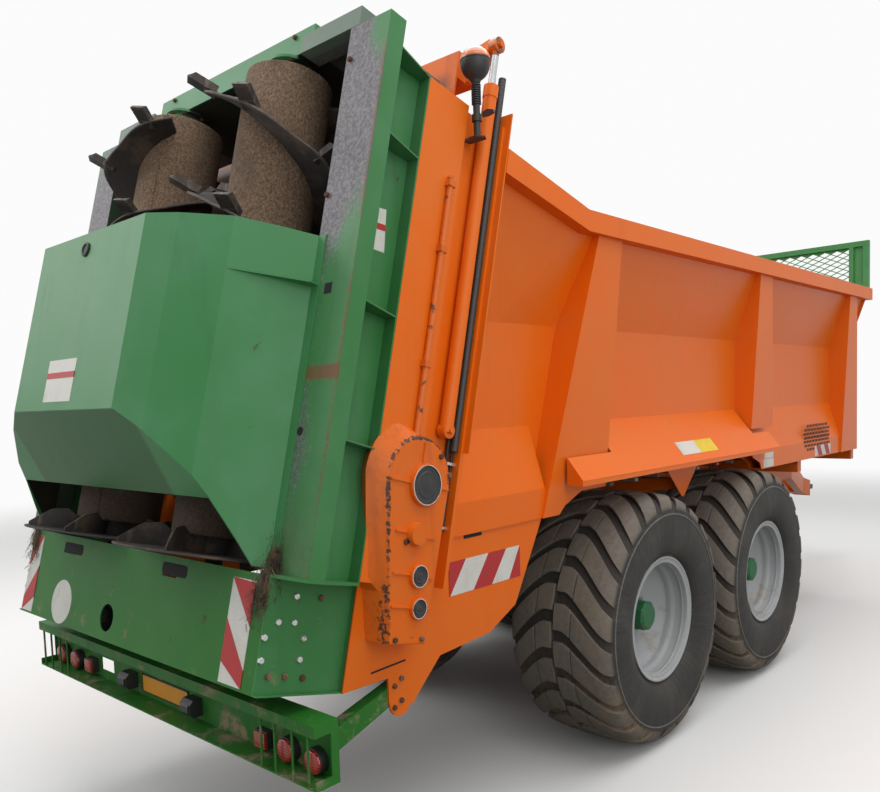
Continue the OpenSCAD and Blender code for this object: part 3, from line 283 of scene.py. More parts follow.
# Bare and black steel: the axles, springs, jack and gearbox are painted black, and
# the moving floor, drive shaft and tow eye are rusty steel polished by the load.
def bare_steel(name, colour, rusty, amount, rough=0.5, metal=0.6):
    """Worked steel: grey metal under patches of rust and dried dirt."""
    steel = Finish(name)
    patch = noise(steel, 6.0, 8.0, rough=0.7)
    fine = noise(steel, 70.0, 6.0, rough=0.7, shift=(2.0, 5.0, 3.0))
    rust = (patch + fine * 0.25 - 0.1).step(0.62 - amount * 0.3, 0.72 - amount * 0.2)
    tone = steel.mix(fine, colour, [c * 1.5 for c in colour])
    tone = steel.cake(rust, tone, fine, rusty, [c * 0.45 for c in rusty])
    steel.set(Base_Color=tone, Roughness=(rough + rust * 0.35 + fine * 0.1).clamp(),
              Metallic=(metal - rust * metal).clamp(), Normal=bumps(steel, fine * 0.5 + rust * 0.6, 0.002))
    return steel.owner


black_paint = enamel("black_enamel", (0.022, 0.022, 0.024), (0.045, 0.043, 0.04),
                     chips=0.3, mud=0.9, stains=0.2, gloss=0.45)
wear(["axles", "springs", "jack", "beater_gearbox"], black_paint)
wear(["tow_eye", "drive_shaft", "conveyor", "conveyor_shaft"],
     bare_steel("floor_steel", (0.25, 0.235, 0.22), (0.17, 0.075, 0.04), 0.5))


# Tyres: wide flotation casings of vulcanised rubber. Each has staggered blocks
# round its middle and bars that sweep back over the shoulder to a thin ring,
# half a pitch apart left and right; the lands are scuffed and the grooves caked.
AXLE_Z, AXLE_X, REAR_AXLE_Y, FRONT_AXLE_Y = 0.725, 0.930, -1.6709, -0.1209
AXLES = (("rear", REAR_AXLE_Y), ("front", FRONT_AXLE_Y))
SIDES = ((1, "right"), (-1, "left"))


def joined(pieces):
    """Several (points, faces) pairs as one pair."""
    points, faces, start = [], [], 0
    for piece_points, piece_faces in pieces:
        points.append(np.asarray(piece_points, float))
        faces += [[start + i for i in face] for face in piece_faces]
        start += len(piece_points)
    return np.concatenate(points), faces


def solid(name, points, faces, body, material, slot, smooth=40.0):
    """A mesh that rides on a body; its edges flatter than smooth degrees are shaded round."""
    made = bpy.data.meshes.new(name)
    made.from_pydata(np.asarray(points, float).tolist(), [], faces)
    made.materials.append(material)
    if smooth:
        made.polygons.foreach_set("use_smooth", np.ones(len(made.polygons), bool))
        made.set_sharp_from_angle(angle=math.radians(smooth))
    made.update()
    piece = bpy.data.objects.new(name, made)
    bpy.context.scene.collection.objects.link(piece)
    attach(piece, body)
    return piece


def grid(points, closed_u=False, closed_v=False, flip=False):
    """The (points, faces) pair of a grid of points, rows along u and columns along v, joined by quads."""
    rows, columns = points.shape[:2]
    u = np.arange(rows if closed_u else rows - 1)
    v = np.arange(columns if closed_v else columns - 1)
    a = (u[:, None] * columns + v[None, :]).ravel()
    b = (u[:, None] * columns + (v[None, :] + 1) % columns).ravel()
    c = (((u[:, None] + 1) % rows) * columns + (v[None, :] + 1) % columns).ravel()
    d = (((u[:, None] + 1) % rows) * columns + v[None, :]).ravel()
    return points.reshape(-1, 3), np.stack([d, c, b, a] if flip else [a, b, c, d], 1).tolist()


def across_frame(direction):
    """The unit direction and two unit vectors square to it."""
    direction = np.asarray(direction, float) / np.linalg.norm(direction)
    first = np.cross(direction, (0.3, 0.5, 0.8))
    first /= np.linalg.norm(first)
    return direction, first, np.cross(direction, first)


def spun(profile, centre, direction, steps, closed=True):
    """An outline of (along, radius) rows turned about the line through centre; closed joins its two ends."""
    direction, first, second = across_frame(direction)
    along, radius = np.asarray(profile, float).T
    area = np.sum(along * np.roll(radius, -1) - np.roll(along, -1) * radius)
    angle = np.linspace(0, 2 * np.pi, steps, endpoint=False)[:, None, None]
    ring = np.cos(angle) * first + np.sin(angle) * second
    points = np.asarray(centre, float) + along[None, :, None] * direction + radius[None, :, None] * ring
    return grid(points, closed_u=True, closed_v=closed, flip=bool(area < 0))


BARS, BAR_H = 22, 0.0225
# Half of the casing's outline, from the bead over the shoulder to the middle: (along the axle, radius)
casing = np.array([(0.2672, 0.3375), (0.269, 0.362), (0.27, 0.37), (0.28, 0.376), (0.295, 0.393),
                   (0.306, 0.42), (0.315, 0.455), (0.319, 0.495), (0.3196, 0.53), (0.318, 0.565),
                   (0.3155, 0.59), (0.315, 0.596), (0.3178, 0.599), (0.318, 0.604), (0.3145, 0.607),
                   (0.3125, 0.613), (0.3095, 0.626), (0.3035, 0.64), (0.2945, 0.654), (0.282, 0.666),
                   (0.266, 0.6755), (0.245, 0.683), (0.22, 0.6885), (0.195, 0.692), (0.17, 0.6945),
                   (0.145, 0.6963), (0.124, 0.6975), (0.117, 0.6978), (0.111, 0.6981), (0.105, 0.6984),
                   (0.082, 0.6993), (0.06, 0.7), (0.038, 0.7004), (0.016, 0.7007), (0.009, 0.7007),
                   (0.003, 0.7007)])
# Steps inside one pitch, and the height of an outer bar at each; the inner bars are half a pitch on
phase = np.array([0.0, 0.03, 0.115, 0.20, 0.23, 0.36, 0.50, 0.53, 0.615, 0.70, 0.73, 0.86])
bar = np.array([0.0, 1.0, 1.0, 1.0, 1.0, 1.0, 1.0, 1.0, 1.0, 1.0, 0.0, 0.0])


def tread(axle_x, axle_y, side):
    """The casing turned about the axle and raised along its own normal where a bar stands:
    rise = bar(pitch) * cut(x) * fade(radius) * BAR_H, on lines swept back by 0.36 * (1 - reach ** 1.3)."""
    profile = np.concatenate([casing, (casing * (-1, 1))[::-1]])
    slope = np.gradient(profile, axis=0)
    normal = np.stack([slope[:, 1], -slope[:, 0]], 1) / np.linalg.norm(slope, axis=1)[:, None]
    across, radius = profile.T
    turn = ((np.arange(BARS)[:, None] + phase[None, :]) / BARS).ravel() * 2 * np.pi
    high = np.where(across > 0, np.tile(bar, BARS)[:, None], np.tile(np.roll(bar, 6), BARS)[:, None])
    off = np.abs(across)
    cut = 1 - 0.62 * (np.abs(off - 0.111) < 0.004) - 0.75 * (off < 0.004)
    fade = np.clip((radius - 0.612) / 0.045, 0, 1) ** 0.7
    rise = high * cut * fade * BAR_H
    sweep = 0.36 * (1 - np.clip((off - 0.06) / 0.26, 0, 1) ** 1.3)
    x = across + rise * np.abs(normal[:, 0]) * np.sign(across) * 0.35
    r = np.minimum(radius + rise * np.abs(normal[:, 1]), 0.7232)
    angle = turn[:, None] + sweep[None, :]
    points = np.stack([axle_x + side * x, axle_y - r * np.cos(angle), AXLE_Z + r * np.sin(angle)], -1)
    return points, (rise / BAR_H).ravel()


def rubber_finish(end, axle_y):
    """Black rubber: grey-brown scuffed lands, dark grooves with tan mud low down, radially scuffed walls."""
    rubber = Finish("tyre_rubber_" + end)
    x, y, z = rubber.xyz()
    dy, dz = y - axle_y, z - AXLE_Z
    radius = rubber.length(dy, dz)
    angle = rubber.math("ARCTAN2", dz, dy)
    raised = rubber.node("ShaderNodeAttribute", {"attribute_name": "raised"})["Fac"]
    polar = rubber.node("ShaderNodeCombineXYZ", {}, {0: angle * 34.0, 1: radius * 5.0, 2: x * 3.0})[0]
    scuff = rubber.node("ShaderNodeTexNoise", {},
                        {"Vector": polar, "Scale": 1.0, "Detail": 7.0, "Roughness": 0.75})[0]
    around = rubber.node("ShaderNodeCombineXYZ", {}, {0: angle * 6.0, 1: x * 42.0, 2: radius * 10.0})[0]
    grain = rubber.node("ShaderNodeTexNoise", {},
                        {"Vector": around, "Scale": 1.0, "Detail": 6.0, "Roughness": 0.7})[0]
    broad = noise(rubber, 4.0, 5.0)
    fine = noise(rubber, 38.0, 8.0, rough=0.72)
    crown = radius.step(0.606, 0.632)
    ring = 1 - (abs(radius - 0.602)).step(0.0025, 0.006)
    land = rubber.mix((fine * 0.7 + grain * 0.6 - 0.12).clamp(), (0.062, 0.054, 0.046), (0.235, 0.200, 0.165))
    land = rubber.mix((broad + fine * 0.4).step(0.62, 0.95) * 0.7, land, (0.20, 0.165, 0.12))
    groove = rubber.mix(fine, (0.012, 0.011, 0.010), (0.055, 0.045, 0.036))
    low = 1 - dz.step(-0.62, 0.05)
    caked = (low * (broad * 0.8 + fine * 0.7).step(0.62, 0.86)).clamp()
    groove = rubber.mix(caked, groove, (0.23, 0.155, 0.095))
    top = rubber.mix(raised.step(0.25, 0.8), groove, land)
    wall = rubber.mix((scuff * 1.5 - 0.42).clamp(), (0.007, 0.007, 0.007), (0.034, 0.031, 0.028))
    wall = rubber.mix((broad + scuff * 0.6).step(0.72, 1.05) * 0.45 + low * 0.10, wall, (0.070, 0.060, 0.048))
    tone = rubber.mix(crown, wall, top)
    tone = rubber.mix(ring * scuff * 1.3, tone, (0.20, 0.19, 0.175))
    rubber.set(Base_Color=tone, Roughness=(0.60 + crown * 0.22 + fine * 0.12).clamp(),
               Normal=bumps(rubber, fine * 0.8 + grain * 0.5 + scuff * 0.5, 0.005))
    return rubber.owner


for end, axle_y in AXLES:
    rubber = rubber_finish(end, axle_y)
    for side, hand in SIDES:
        corner = end + "_" + hand
        points, raised = tread(AXLE_X * side, axle_y, side)
        points, faces = grid(points, closed_u=True, closed_v=True, flip=side > 0)
        tyre = solid("tread_" + corner, points, faces, "wheel_" + corner, rubber, "tyre", 42.0)
        tyre.data.attributes.new("raised", "FLOAT", "POINT").data.foreach_set("value", raised)
        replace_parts(tyre, "tyre_" + corner)


# Rims: deep dishes pressed from steel in steps, with rolled lips, weld rings
# and ten nuts on the disc; silver paint, with mud dried in the foot of the well.
barrel = [(0.1950, 0.3320), (0.2680, 0.3370), (0.2680, 0.3564), (0.2692, 0.3570), (0.2780, 0.3570),
          (0.2795, 0.3560), (0.2800, 0.3530), (0.2796, 0.3490), (0.2780, 0.3462), (0.2755, 0.3430),
          (0.2728, 0.3390), (0.2716, 0.3340), (0.2712, 0.3270), (0.2700, 0.3225), (0.2670, 0.3206),
          (0.2610, 0.3200), (0.2440, 0.3196), (0.2412, 0.3176), (0.2385, 0.3168), (0.2358, 0.3176),
          (0.2330, 0.3192), (0.2150, 0.3188), (0.1960, 0.3180), (0.1895, 0.3164), (0.1840, 0.3130),
          (0.1755, 0.3086), (0.1690, 0.3062), (0.1620, 0.3050), (0.1430, 0.3046), (-0.1430, 0.3046),
          (-0.1900, 0.3165), (-0.2720, 0.3205), (-0.2797, 0.3450), (-0.2797, 0.3565), (-0.2682, 0.3565),
          (-0.2680, 0.3370), (-0.1950, 0.3320), (-0.1500, 0.3170), (0.1500, 0.3170)]
dish = [(0.1400, 0.3052), (0.1372, 0.3030), (0.1335, 0.3022), (0.1285, 0.3000), (0.1180, 0.2910),
        (0.0800, 0.2420), (0.0665, 0.2230), (0.0622, 0.2120), (0.0607, 0.1980), (0.0602, 0.1700),
        (0.0602, 0.0915), (0.0482, 0.0915), (0.0482, 0.2140), (0.0540, 0.2300), (0.1100, 0.3040),
        (0.1240, 0.3130), (0.1345, 0.3130)]
cap = [(0.1240, 0.0600), (0.1240, 0.0830), (0.1275, 0.0875), (0.1760, 0.0875), (0.1830, 0.0810),
       (0.1850, 0.0560)]


def studs(centres, direction, radius, height, sides=6, turn=0.0):
    """Short prisms that stand on those centres and point along one direction: bolt heads and nuts."""
    direction, first, second = across_frame(direction)
    angle = np.linspace(0, 2 * np.pi, sides, endpoint=False) + turn
    ring = radius * (np.cos(angle)[:, None] * first + np.sin(angle)[:, None] * second)
    centres = np.asarray(centres, float).reshape(-1, 1, 3)
    levels = np.concatenate([ring, ring + direction * height * 0.8, ring * 0.86 + direction * height])
    points = (centres + levels[None]).reshape(-1, 3)
    n = np.arange(sides)
    walls = [np.stack([n + k, (n + 1) % sides + k, (n + 1) % sides + k + sides, n + k + sides], 1)
             for k in (0, sides)]
    faces = [list(map(int, row)) for row in np.concatenate(walls)] + [[int(i) for i in n + 2 * sides]]
    starts = np.arange(len(centres)) * 3 * sides
    return points, [[int(start) + i for i in face] for start in starts for face in faces]


silver = enamel("silver_enamel", (0.42, 0.43, 0.44), (0.34, 0.345, 0.345), chips=0.05, mud=0.42, stains=0.25,
                gloss=0.32)
hub_paint = enamel("hub_enamel", (0.015, 0.125, 0.040), (0.030, 0.15, 0.06), chips=0.4, mud=0.35, stains=0.4,
                   gloss=0.30)
NUTS, NUT_RING = 10, 0.1375
for end, axle_y in AXLES:
    for side, hand in SIDES:
        corner = end + "_" + hand
        middle = (AXLE_X * side, axle_y, AXLE_Z)
        angle = np.arange(NUTS) * 2 * np.pi / NUTS + 0.2
        nuts = middle + np.stack([0.060 * side + 0 * angle, -NUT_RING * np.cos(angle),
                                  NUT_RING * np.sin(angle)], 1)
        turned = [spun(profile, middle, (side, 0, 0), 128) for profile in (barrel, dish)]
        rim = solid("dish_" + corner, *joined([*turned, studs(nuts, (side, 0, 0), 0.017, 0.024)]),
                    "wheel_" + corner, silver, "silver_paint", 32.0)
        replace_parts(rim, "rim_" + corner)
        solid("cap_" + corner, *spun(cap, middle, (side, 0, 0), 8), "wheel_" + corner, hub_paint,
              "green_paint", 20.0)
        wear(["hub_" + corner], hub_paint)


# The hood's and tailboard's fittings: blank vinyl labels, red and white warning
# strips, a blank speed disc, a rubber plug and the bolts of the cheeks. Stuck or
# screwed onto the green sheet.
LEAN = math.radians(14.0)
LEAN_Y, LEAN_Z = -4.3209, 1.011
# Outer faces: the rear frame's cheek, the unit's set-back side wall and the tailboard's folded end
CHEEK_X, WALL_X, FOLD_X = 1.050, 1.060, 1.018


def lean(points):
    """Places (x, ahead of the unit's corner, up its slope) rows, in metres, in the leaning rear unit."""
    x, v, w = np.asarray(points, float).reshape(-1, 3).T
    return np.stack([x, LEAN_Y + v * math.cos(LEAN) + w * math.sin(LEAN),
                     LEAN_Z - v * math.sin(LEAN) + w * math.cos(LEAN)], 1)


def prism(outline, low, high, axis=0):
    """A flat outline pushed from low to high along one axis (0 is x); its own two axes keep their order."""
    outline = np.asarray(outline, float)
    low, high = min(low, high), max(low, high)
    area = np.sum(outline[:, 0] * np.roll(outline[:, 1], -1) - np.roll(outline[:, 0], -1) * outline[:, 1])
    if area * (1, -1, 1)[axis] < 0:
        outline = outline[::-1]
    n = len(outline)
    walls = [[i, (i + 1) % n, (i + 1) % n + n, i + n] for i in range(n)]
    points = np.concatenate([np.insert(outline, axis, value, axis=1) for value in (low, high)])
    return points, [list(range(n))[::-1], [n + i for i in range(n)], *walls]


def box(low, high):
    """A plain box between two corners."""
    return prism([(low[1], low[2]), (high[1], low[2]), (high[1], high[2]), (low[1], high[2])],
                 low[0], high[0])


def leaning(piece):
    """A (points, faces) pair moved into the leaning unit."""
    return lean(piece[0]), piece[1]


def leaning_solid(name, pieces, material, slot, smooth, body="frame"):
    """Several (points, faces) pairs drawn in the leaning unit, as one mesh that rides on a body."""
    return solid(name, *leaning(joined(pieces)), body, material, slot, smooth)


def round_outline(centre, across, up, count=40):
    """An ellipse's outline."""
    angle = np.linspace(0, 2 * np.pi, count, endpoint=False)
    return np.stack([centre[0] + across * np.cos(angle), centre[1] + up * np.sin(angle)], 1)


def vinyl(name, colour, dirt=0.35, rough=0.42):
    """Printed foil: even colour, dulled by rubbed-in dust and thin scratches, with dirt specks."""
    foil = Finish(name)
    broad = noise(foil, 9.0, 5.0, shift=(2.0, 1.0, 3.0))
    fine = noise(foil, 85.0, 7.0, rough=0.75)
    scratch = noise(foil, 30.0, 3.0, stretch=(1.0, 1.0, 0.12), shift=(5.0, 0.0, 2.0)).step(0.62, 0.70)
    tone = foil.mix(((broad * 0.8 + fine * 0.5).step(0.55, 0.95) * dirt + scratch * dirt * 0.5).clamp(),
                    colour, [c * 0.45 + 0.03 for c in colour])
    tone = foil.mix(fine.step(0.72, 0.78) * dirt * 1.6, tone, (0.07, 0.055, 0.04))
    foil.set(Base_Color=tone, Roughness=(rough + fine * 0.2).clamp(),
             Normal=bumps(foil, fine * 0.3 + scratch * 0.3, 0.0006))
    return foil.owner


white_vinyl = vinyl("white_vinyl", (0.66, 0.65, 0.60))
red_vinyl = vinyl("red_vinyl", (0.44, 0.016, 0.018))
yellow_vinyl = vinyl("yellow_vinyl", (0.80, 0.58, 0.03))
plate_yellow = vinyl("plate_yellow", (0.80, 0.33, 0.02), dirt=0.25)

hood_face, label_t = -0.4100, 0.0012
label = [(-0.168, 1.158), (0.090, 1.158), (0.090, 0.980), (-0.168, 0.980)]
band = [(-0.168, 1.104), (0.090, 1.104), (0.090, 1.080), (-0.168, 1.080)]
white, red = [], []
white.append(leaning(prism(label, hood_face - label_t, hood_face + 0.001, 1)))
red.append(leaning(prism(band, hood_face - 2 * label_t, hood_face + 0.001, 1)))
white.append(leaning(prism(round_outline((-0.576, 0.105), 0.104, 0.104), -label_t, 0.001, 1)))
# Warning strips, one at each end of the tailboard: (x at the inner edge, x at the outer edge, foot, top)
for side in (1, -1):
    inner, outer = (0.800, 0.943) if side > 0 else (-0.895, -1.014)
    foot, top, slant = 0.010, 0.392, 0.165
    white.append(leaning(prism([(inner, foot), (outer, foot), (outer, top), (inner, top)],
                               -label_t, 0.001, 1)))
    for start in (0.085, 0.395):
        corners = [(inner, start), (outer, start - slant), (outer, start - slant + 0.155),
                   (inner, start + 0.155)]
        corners = [(x, min(max(w, foot), top)) for x, w in corners]
        if abs(corners[3][1] - corners[0][1]) > 0.002 or abs(corners[2][1] - corners[1][1]) > 0.002:
            red.append(leaning(prism(corners, -2 * label_t, 0.001, 1)))
# Labels on the set-back side wall, the mudguards and the tub's skirts, and the strips on its cheeks
for side in (1, -1):
    wall, cheek = WALL_X * side, CHEEK_X * side
    white.append(leaning(prism([(0.166, 1.690), (0.272, 1.700), (0.252, 1.868), (0.150, 1.852)], wall,
                               wall + label_t * side)))
    red.append(leaning(prism([(0.160, 1.770), (0.264, 1.784), (0.261, 1.808), (0.157, 1.794)], wall,
                             wall + 2 * label_t * side)))
    back, ahead, foot, top = REAR_AXLE_Y - 1.649, REAR_AXLE_Y - 1.139, 1.165, 1.313
    white.append(prism([(back, foot), (ahead, foot), (ahead, top), (back, top)],
                       cheek, cheek + label_t * side))
    for start in (-1.665, -1.375, -1.115):
        y = REAR_AXLE_Y + start
        corners = [(y - 0.111, foot), (y + 0.019, foot), (y + 0.13, top), (y, top)]
        corners = [(min(max(y, back), ahead), z) for y, z in corners]
        red.append(prism(corners, cheek, cheek + 2 * label_t * side))
solid("labels_white", *joined(white), "frame", white_vinyl, "green_paint", 0)
solid("labels_red", *joined(red), "frame", red_vinyl, "green_paint", 0)

# The hood's plug and the bolts of the cheeks: clean zinc and rusty ones
zinc = bare_steel("zinc_bolts", (0.50, 0.51, 0.50), (0.22, 0.12, 0.07), 0.15, rough=0.32, metal=0.85)
rusty = bare_steel("rusty_bolts", (0.20, 0.12, 0.08), (0.13, 0.055, 0.03), 0.95, rough=0.7, metal=0.2)
plug = [(0.0, 0.0), (0.0, 0.030), (0.006, 0.031), (0.009, 0.026), (0.009, 0.022), (0.004, 0.019),
        (0.004, 0.0)]
leaning_solid("hood_plug", [spun(plug, (-0.013, hood_face, 1.627), (0, -1, 0), 36, closed=False)],
              black_paint, "black_paint", 40.0)
bright = [(0.125, 0.354), (0.060, 0.260), (0.131, 0.260), (0.010, 0.205), (0.185, 0.204), (0.010, 0.125),
          (0.181, 0.127)]
dull = [(0.242, 0.353), (0.051, 0.069), (0.125, 0.067), (0.208, 0.060)]
for side, hand in SIDES:
    for name, rows, finish in (("zinc", bright, zinc), ("rusty", dull, rusty)):
        centres = np.insert(rows, 0, FOLD_X * side, axis=1)
        leaning_solid("cheek_" + name + "_" + hand, [studs(centres, (side, 0, 0), 0.0125, 0.011)], finish,
                      "worn_steel", 25.0)


# Bumper lamps and plate: moulded red lenses in black rings behind the guard
# wires, a blank yellow plate riveted to the web and the two lamps that light it.
def lean_place(finish):
    """x, the way ahead of the leaning unit's corner, and the way up its slope, as values."""
    x, y, z = finish.xyz()
    dy, dz = y - LEAN_Y, z - LEAN_Z
    return x, dy * math.cos(LEAN) - dz * math.sin(LEAN), dy * math.sin(LEAN) + dz * math.cos(LEAN)


def lens_finish(name, colour, rings):
    """Clear-coated moulded plastic with fine ribs, and dust in the ribs."""
    lens = Finish(name)
    ribs = lens.node("ShaderNodeTexWave", {"wave_type": "BANDS", "bands_direction": "Z"},
                     {"Vector": lens.place(), "Scale": rings})[1]
    fine = noise(lens, 55.0, 6.0, rough=0.7)
    dust = (fine * 0.9 + noise(lens, 12.0, 4.0) * 0.6).step(0.70, 1.05)
    tone = lens.mix(dust * 0.55, lens.mix(ribs, [c * 0.55 for c in colour], colour), (0.20, 0.15, 0.11))
    lens.set(Base_Color=tone, Roughness=(0.16 + dust * 0.4).clamp(),
             Normal=bumps(lens, ribs * 0.6 + fine * 0.1, 0.0012))
    lens.shader.inputs["Coat Weight"].default_value = 0.6
    lens.shader.inputs["Coat Roughness"].default_value = 0.08
    return lens.owner


red_lens = lens_finish("red_lens", (0.50, 0.020, 0.012), 28.0)
black_plastic = vinyl("black_plastic", (0.020, 0.020, 0.021), dirt=0.4, rough=0.38)
WEB_Y, LAMP_Z = -4.0769, 0.717
lens_outline = [(0.0, 0.0465), (0.034, 0.0465), (0.040, 0.0455), (0.0445, 0.0415), (0.0470, 0.034),
                (0.0485, 0.020), (0.0490, 0.0)]
ring_outline = [(0.0, 0.0470), (0.0, 0.0500), (0.0300, 0.0500), (0.0340, 0.0490), (0.0350, 0.0470)]
lenses, rings = [], []
for side in (1, -1):
    for x in (0.905, 1.068):
        lenses.append(spun(lens_outline, (x * side, WEB_Y, LAMP_Z), (0, -1, 0), 40, closed=False))
        rings.append(spun(ring_outline, (x * side, WEB_Y, LAMP_Z), (0, -1, 0), 40))
    square = 0.7475 * side
    rings.append(box((square - 0.0375, WEB_Y - 0.030, LAMP_Z - 0.036),
                     (square + 0.0375, WEB_Y, LAMP_Z + 0.036)))
    lenses.append(box((square - 0.034, WEB_Y - 0.042, LAMP_Z - 0.032),
                      (square + 0.034, WEB_Y - 0.029, LAMP_Z + 0.032)))
lens = solid("lamp_lenses", *joined(lenses), "frame", red_lens, "red_plastic", 35.0)
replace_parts(lens, "lamps")
solid("lamp_rings", *joined(rings), "frame", black_plastic, "red_plastic", 35.0)
solid("plate", *box((-0.240, WEB_Y - 0.004, 0.690), (0.160, WEB_Y, 0.766)), "frame", plate_yellow,
      "green_paint", 0)
frame_bars = [box((x0, WEB_Y - 0.006, z0), (x1, WEB_Y, z1)) for x0, x1, z0, z1 in (
    (-0.246, 0.166, 0.766, 0.771), (-0.246, 0.166, 0.685, 0.690), (-0.246, -0.240, 0.685, 0.771),
    (0.160, 0.166, 0.685, 0.771))]
# The plate's two lamps: each outline is (behind the web, height)
lamp_body = [(0.0, 0.690), (0.045, 0.690), (0.062, 0.712), (0.062, 0.748), (0.045, 0.766), (0.0, 0.766)]
lamp_glass = [(0.060, 0.706), (0.068, 0.715), (0.068, 0.742), (0.060, 0.752)]
for x in (-0.335, 0.235):
    for outline, half in ((lamp_body, 0.040), (lamp_glass, 0.030)):
        frame_bars.append(prism([(WEB_Y - back, z) for back, z in outline], x - half, x + half))
solid("plate_frame", *joined(frame_bars), "frame", black_plastic, "black_paint", 0)


# Beacon: an amber dome clamped on a black bowl, with a ribbed rubber stalk, a
# winged clamp and the pointed steel plate that holds it to the rear frame.
BEACON_X, BEACON_Y, BEACON_Z = 1.150, -3.1589, 3.348
dome = [(0.082, 0.0), (0.082, 0.0635), (0.090, 0.0632), (0.102, 0.0590), (0.113, 0.0515), (0.124, 0.0400),
        (0.1325, 0.0250), (0.1370, 0.0120), (0.1378, 0.0)]
bowl = [(0.0, 0.0), (0.0, 0.0230), (0.006, 0.0300), (0.016, 0.0430), (0.030, 0.0530), (0.046, 0.0600),
        (0.062, 0.0630), (0.072, 0.0638), (0.074, 0.0620), (0.078, 0.0620), (0.080, 0.0638),
        (0.083, 0.0638), (0.083, 0.0)]
stalk = [(-0.2380, 0.0), (-0.2380, 0.0140)]
for i in range(9):
    rib = -0.100 + i * 0.0095
    stalk += [(rib, 0.0150), (rib + 0.0022, 0.0205), (rib + 0.0060, 0.0205), (rib + 0.0080, 0.0150)]
stalk += [(-0.010, 0.0190), (0.001, 0.0225), (0.001, 0.0)]
amber = lens_finish("amber_lens", (0.86, 0.17, 0.012), 26.0)
place = (BEACON_X, BEACON_Y, BEACON_Z)
piece = solid("beacon_dome", *spun(dome, place, (0, 0, 1), 48, closed=False), "frame", amber,
              "amber_plastic", 35.0)
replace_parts(piece, "beacon")
solid("beacon_bowl", *joined([spun(bowl, place, (0, 0, 1), 48, closed=False),
                              spun(stalk, place, (0, 0, 1), 28, closed=False)]),
      "frame", black_plastic, "black_paint", 35.0)
wing = [(1.128, 0.012), (1.100, 0.018), (1.070, 0.008), (1.068, -0.004), (1.100, -0.010), (1.128, -0.008)]
wing = [(BEACON_X * 2 - x + 0.012, BEACON_Z - 0.150 + z) for x, z in wing]
clamp = [prism(wing, BEACON_Y - 0.006, BEACON_Y + 0.006, 1),
         spun([(-0.168, 0.0), (-0.168, 0.021), (-0.140, 0.021), (-0.140, 0.0)],
              place, (0, 0, 1), 24, closed=False)]
solid("beacon_clamp", *joined(clamp), "frame", black_plastic, "black_paint", 35.0)
arrow = [(x, BEACON_Y + ahead)
         for x, ahead in ((1.080, -0.032), (1.172, -0.034), (1.190, 0.004), (1.172, 0.032), (1.080, 0.030))]
solid("beacon_plate", *prism(arrow, 3.108, 3.114, 2), "frame", rusty, "worn_steel", 0)


# Beaters: two steel drums that turn against each other. Each carries a pair of
# scalloped spiral flights with channel knives bolted to their edges, and a disc
# with throwing plates below. Chopped straw has dried on the drums.
BEATER_X, BEATER_V, FLIGHT_W, PITCH, KNIVES = 0.435, 0.142, 0.725, 0.900, 11


def on_beater(piece, side, turn=0.0, reach=0.0, rise=0.0, tilt=0.0):
    """A (points, faces) pair drawn as (out, round, up): tilted up by radians, moved out and up, turned
    about the axis and set on the right (1) or left (-1) beater."""
    out, around, up = np.asarray(piece[0], float).T
    out, up = (reach + out * math.cos(tilt) - up * math.sin(tilt),
               rise + out * math.sin(tilt) + up * math.cos(tilt))
    x, v = out * math.cos(turn) - around * math.sin(turn), out * math.sin(turn) + around * math.cos(turn)
    faces = [face[::-1] for face in piece[1]] if side > 0 else piece[1]
    return lean(np.stack([side * (BEATER_X - x), BEATER_V + v, up], 1)), faces


def flight():
    """A spiral blade: at the angle t it has climbed PITCH * t / (2 pi), and its edge lies at
    0.335 + 0.013 cos(6 t)."""
    turn = np.linspace(0.0, 34 / 18 * 2 * np.pi, 205)[:, None]
    edge, foot = 0.335 + 0.013 * np.cos(6 * turn), np.full_like(turn, 0.182)
    radius = np.concatenate([foot, edge - 0.003, edge, edge, edge - 0.003, foot], 1)
    up = FLIGHT_W + PITCH * turn / (2 * np.pi) + np.array([0.0, 0.0, 0.003, 0.009, 0.012, 0.012])
    points, faces = grid(np.stack([radius * np.cos(turn), radius * np.sin(turn), up], -1),
                         closed_v=True, flip=True)
    last = len(points) - 6
    return points, faces + [[0, 1, 2, 3, 4, 5], [last + i for i in (5, 4, 3, 2, 1, 0)]]


def throwing_plate():
    """A curved plate on the disc: its bow is 0.035 sin(pi s) along its length, and its top falls towards
    the rim."""
    along = np.linspace(0.0, 1.0, 14)
    out, bow = 0.085 + 0.305 * along, 0.035 * np.sin(np.pi * along)
    top = np.interp(out, (0.085, 0.188, 0.215, 0.300, 0.390), (0.064, 0.064, 0.100, 0.085, 0.015))
    foot, half = 0 * out, 0.004
    corners = [(out, bow - half, foot), (out, bow + half, foot), (out, bow + half, top),
               (out, bow - half, top)]
    points, faces = grid(np.stack([np.stack(corner, 1) for corner in corners], 1), closed_v=True)
    last = len(points) - 4
    return points, faces + [[3, 2, 1, 0], [last + i for i in range(4)]]


def knife():
    """A short channel with its flanges cut back at the tip, and the two bolts through its web."""
    half, wall, tall = 0.031, 0.009, 0.034
    channel = [(-half, 0.0), (half, 0.0), (half, tall), (half - wall, tall), (half - wall, 0.011),
               (wall - half, 0.011), (wall - half, tall), (-half, tall)]
    points, faces = prism(channel, 0.0, 0.128)
    points[(points[:, 0] > 0.1) & (points[:, 2] > 0.02), 0] -= 0.022
    bolts = studs([(0.030, 0.0, 0.011), (0.075, 0.0, 0.011)], (0, 0, 1), 0.011, 0.010)
    return joined([(points, faces), bolts])


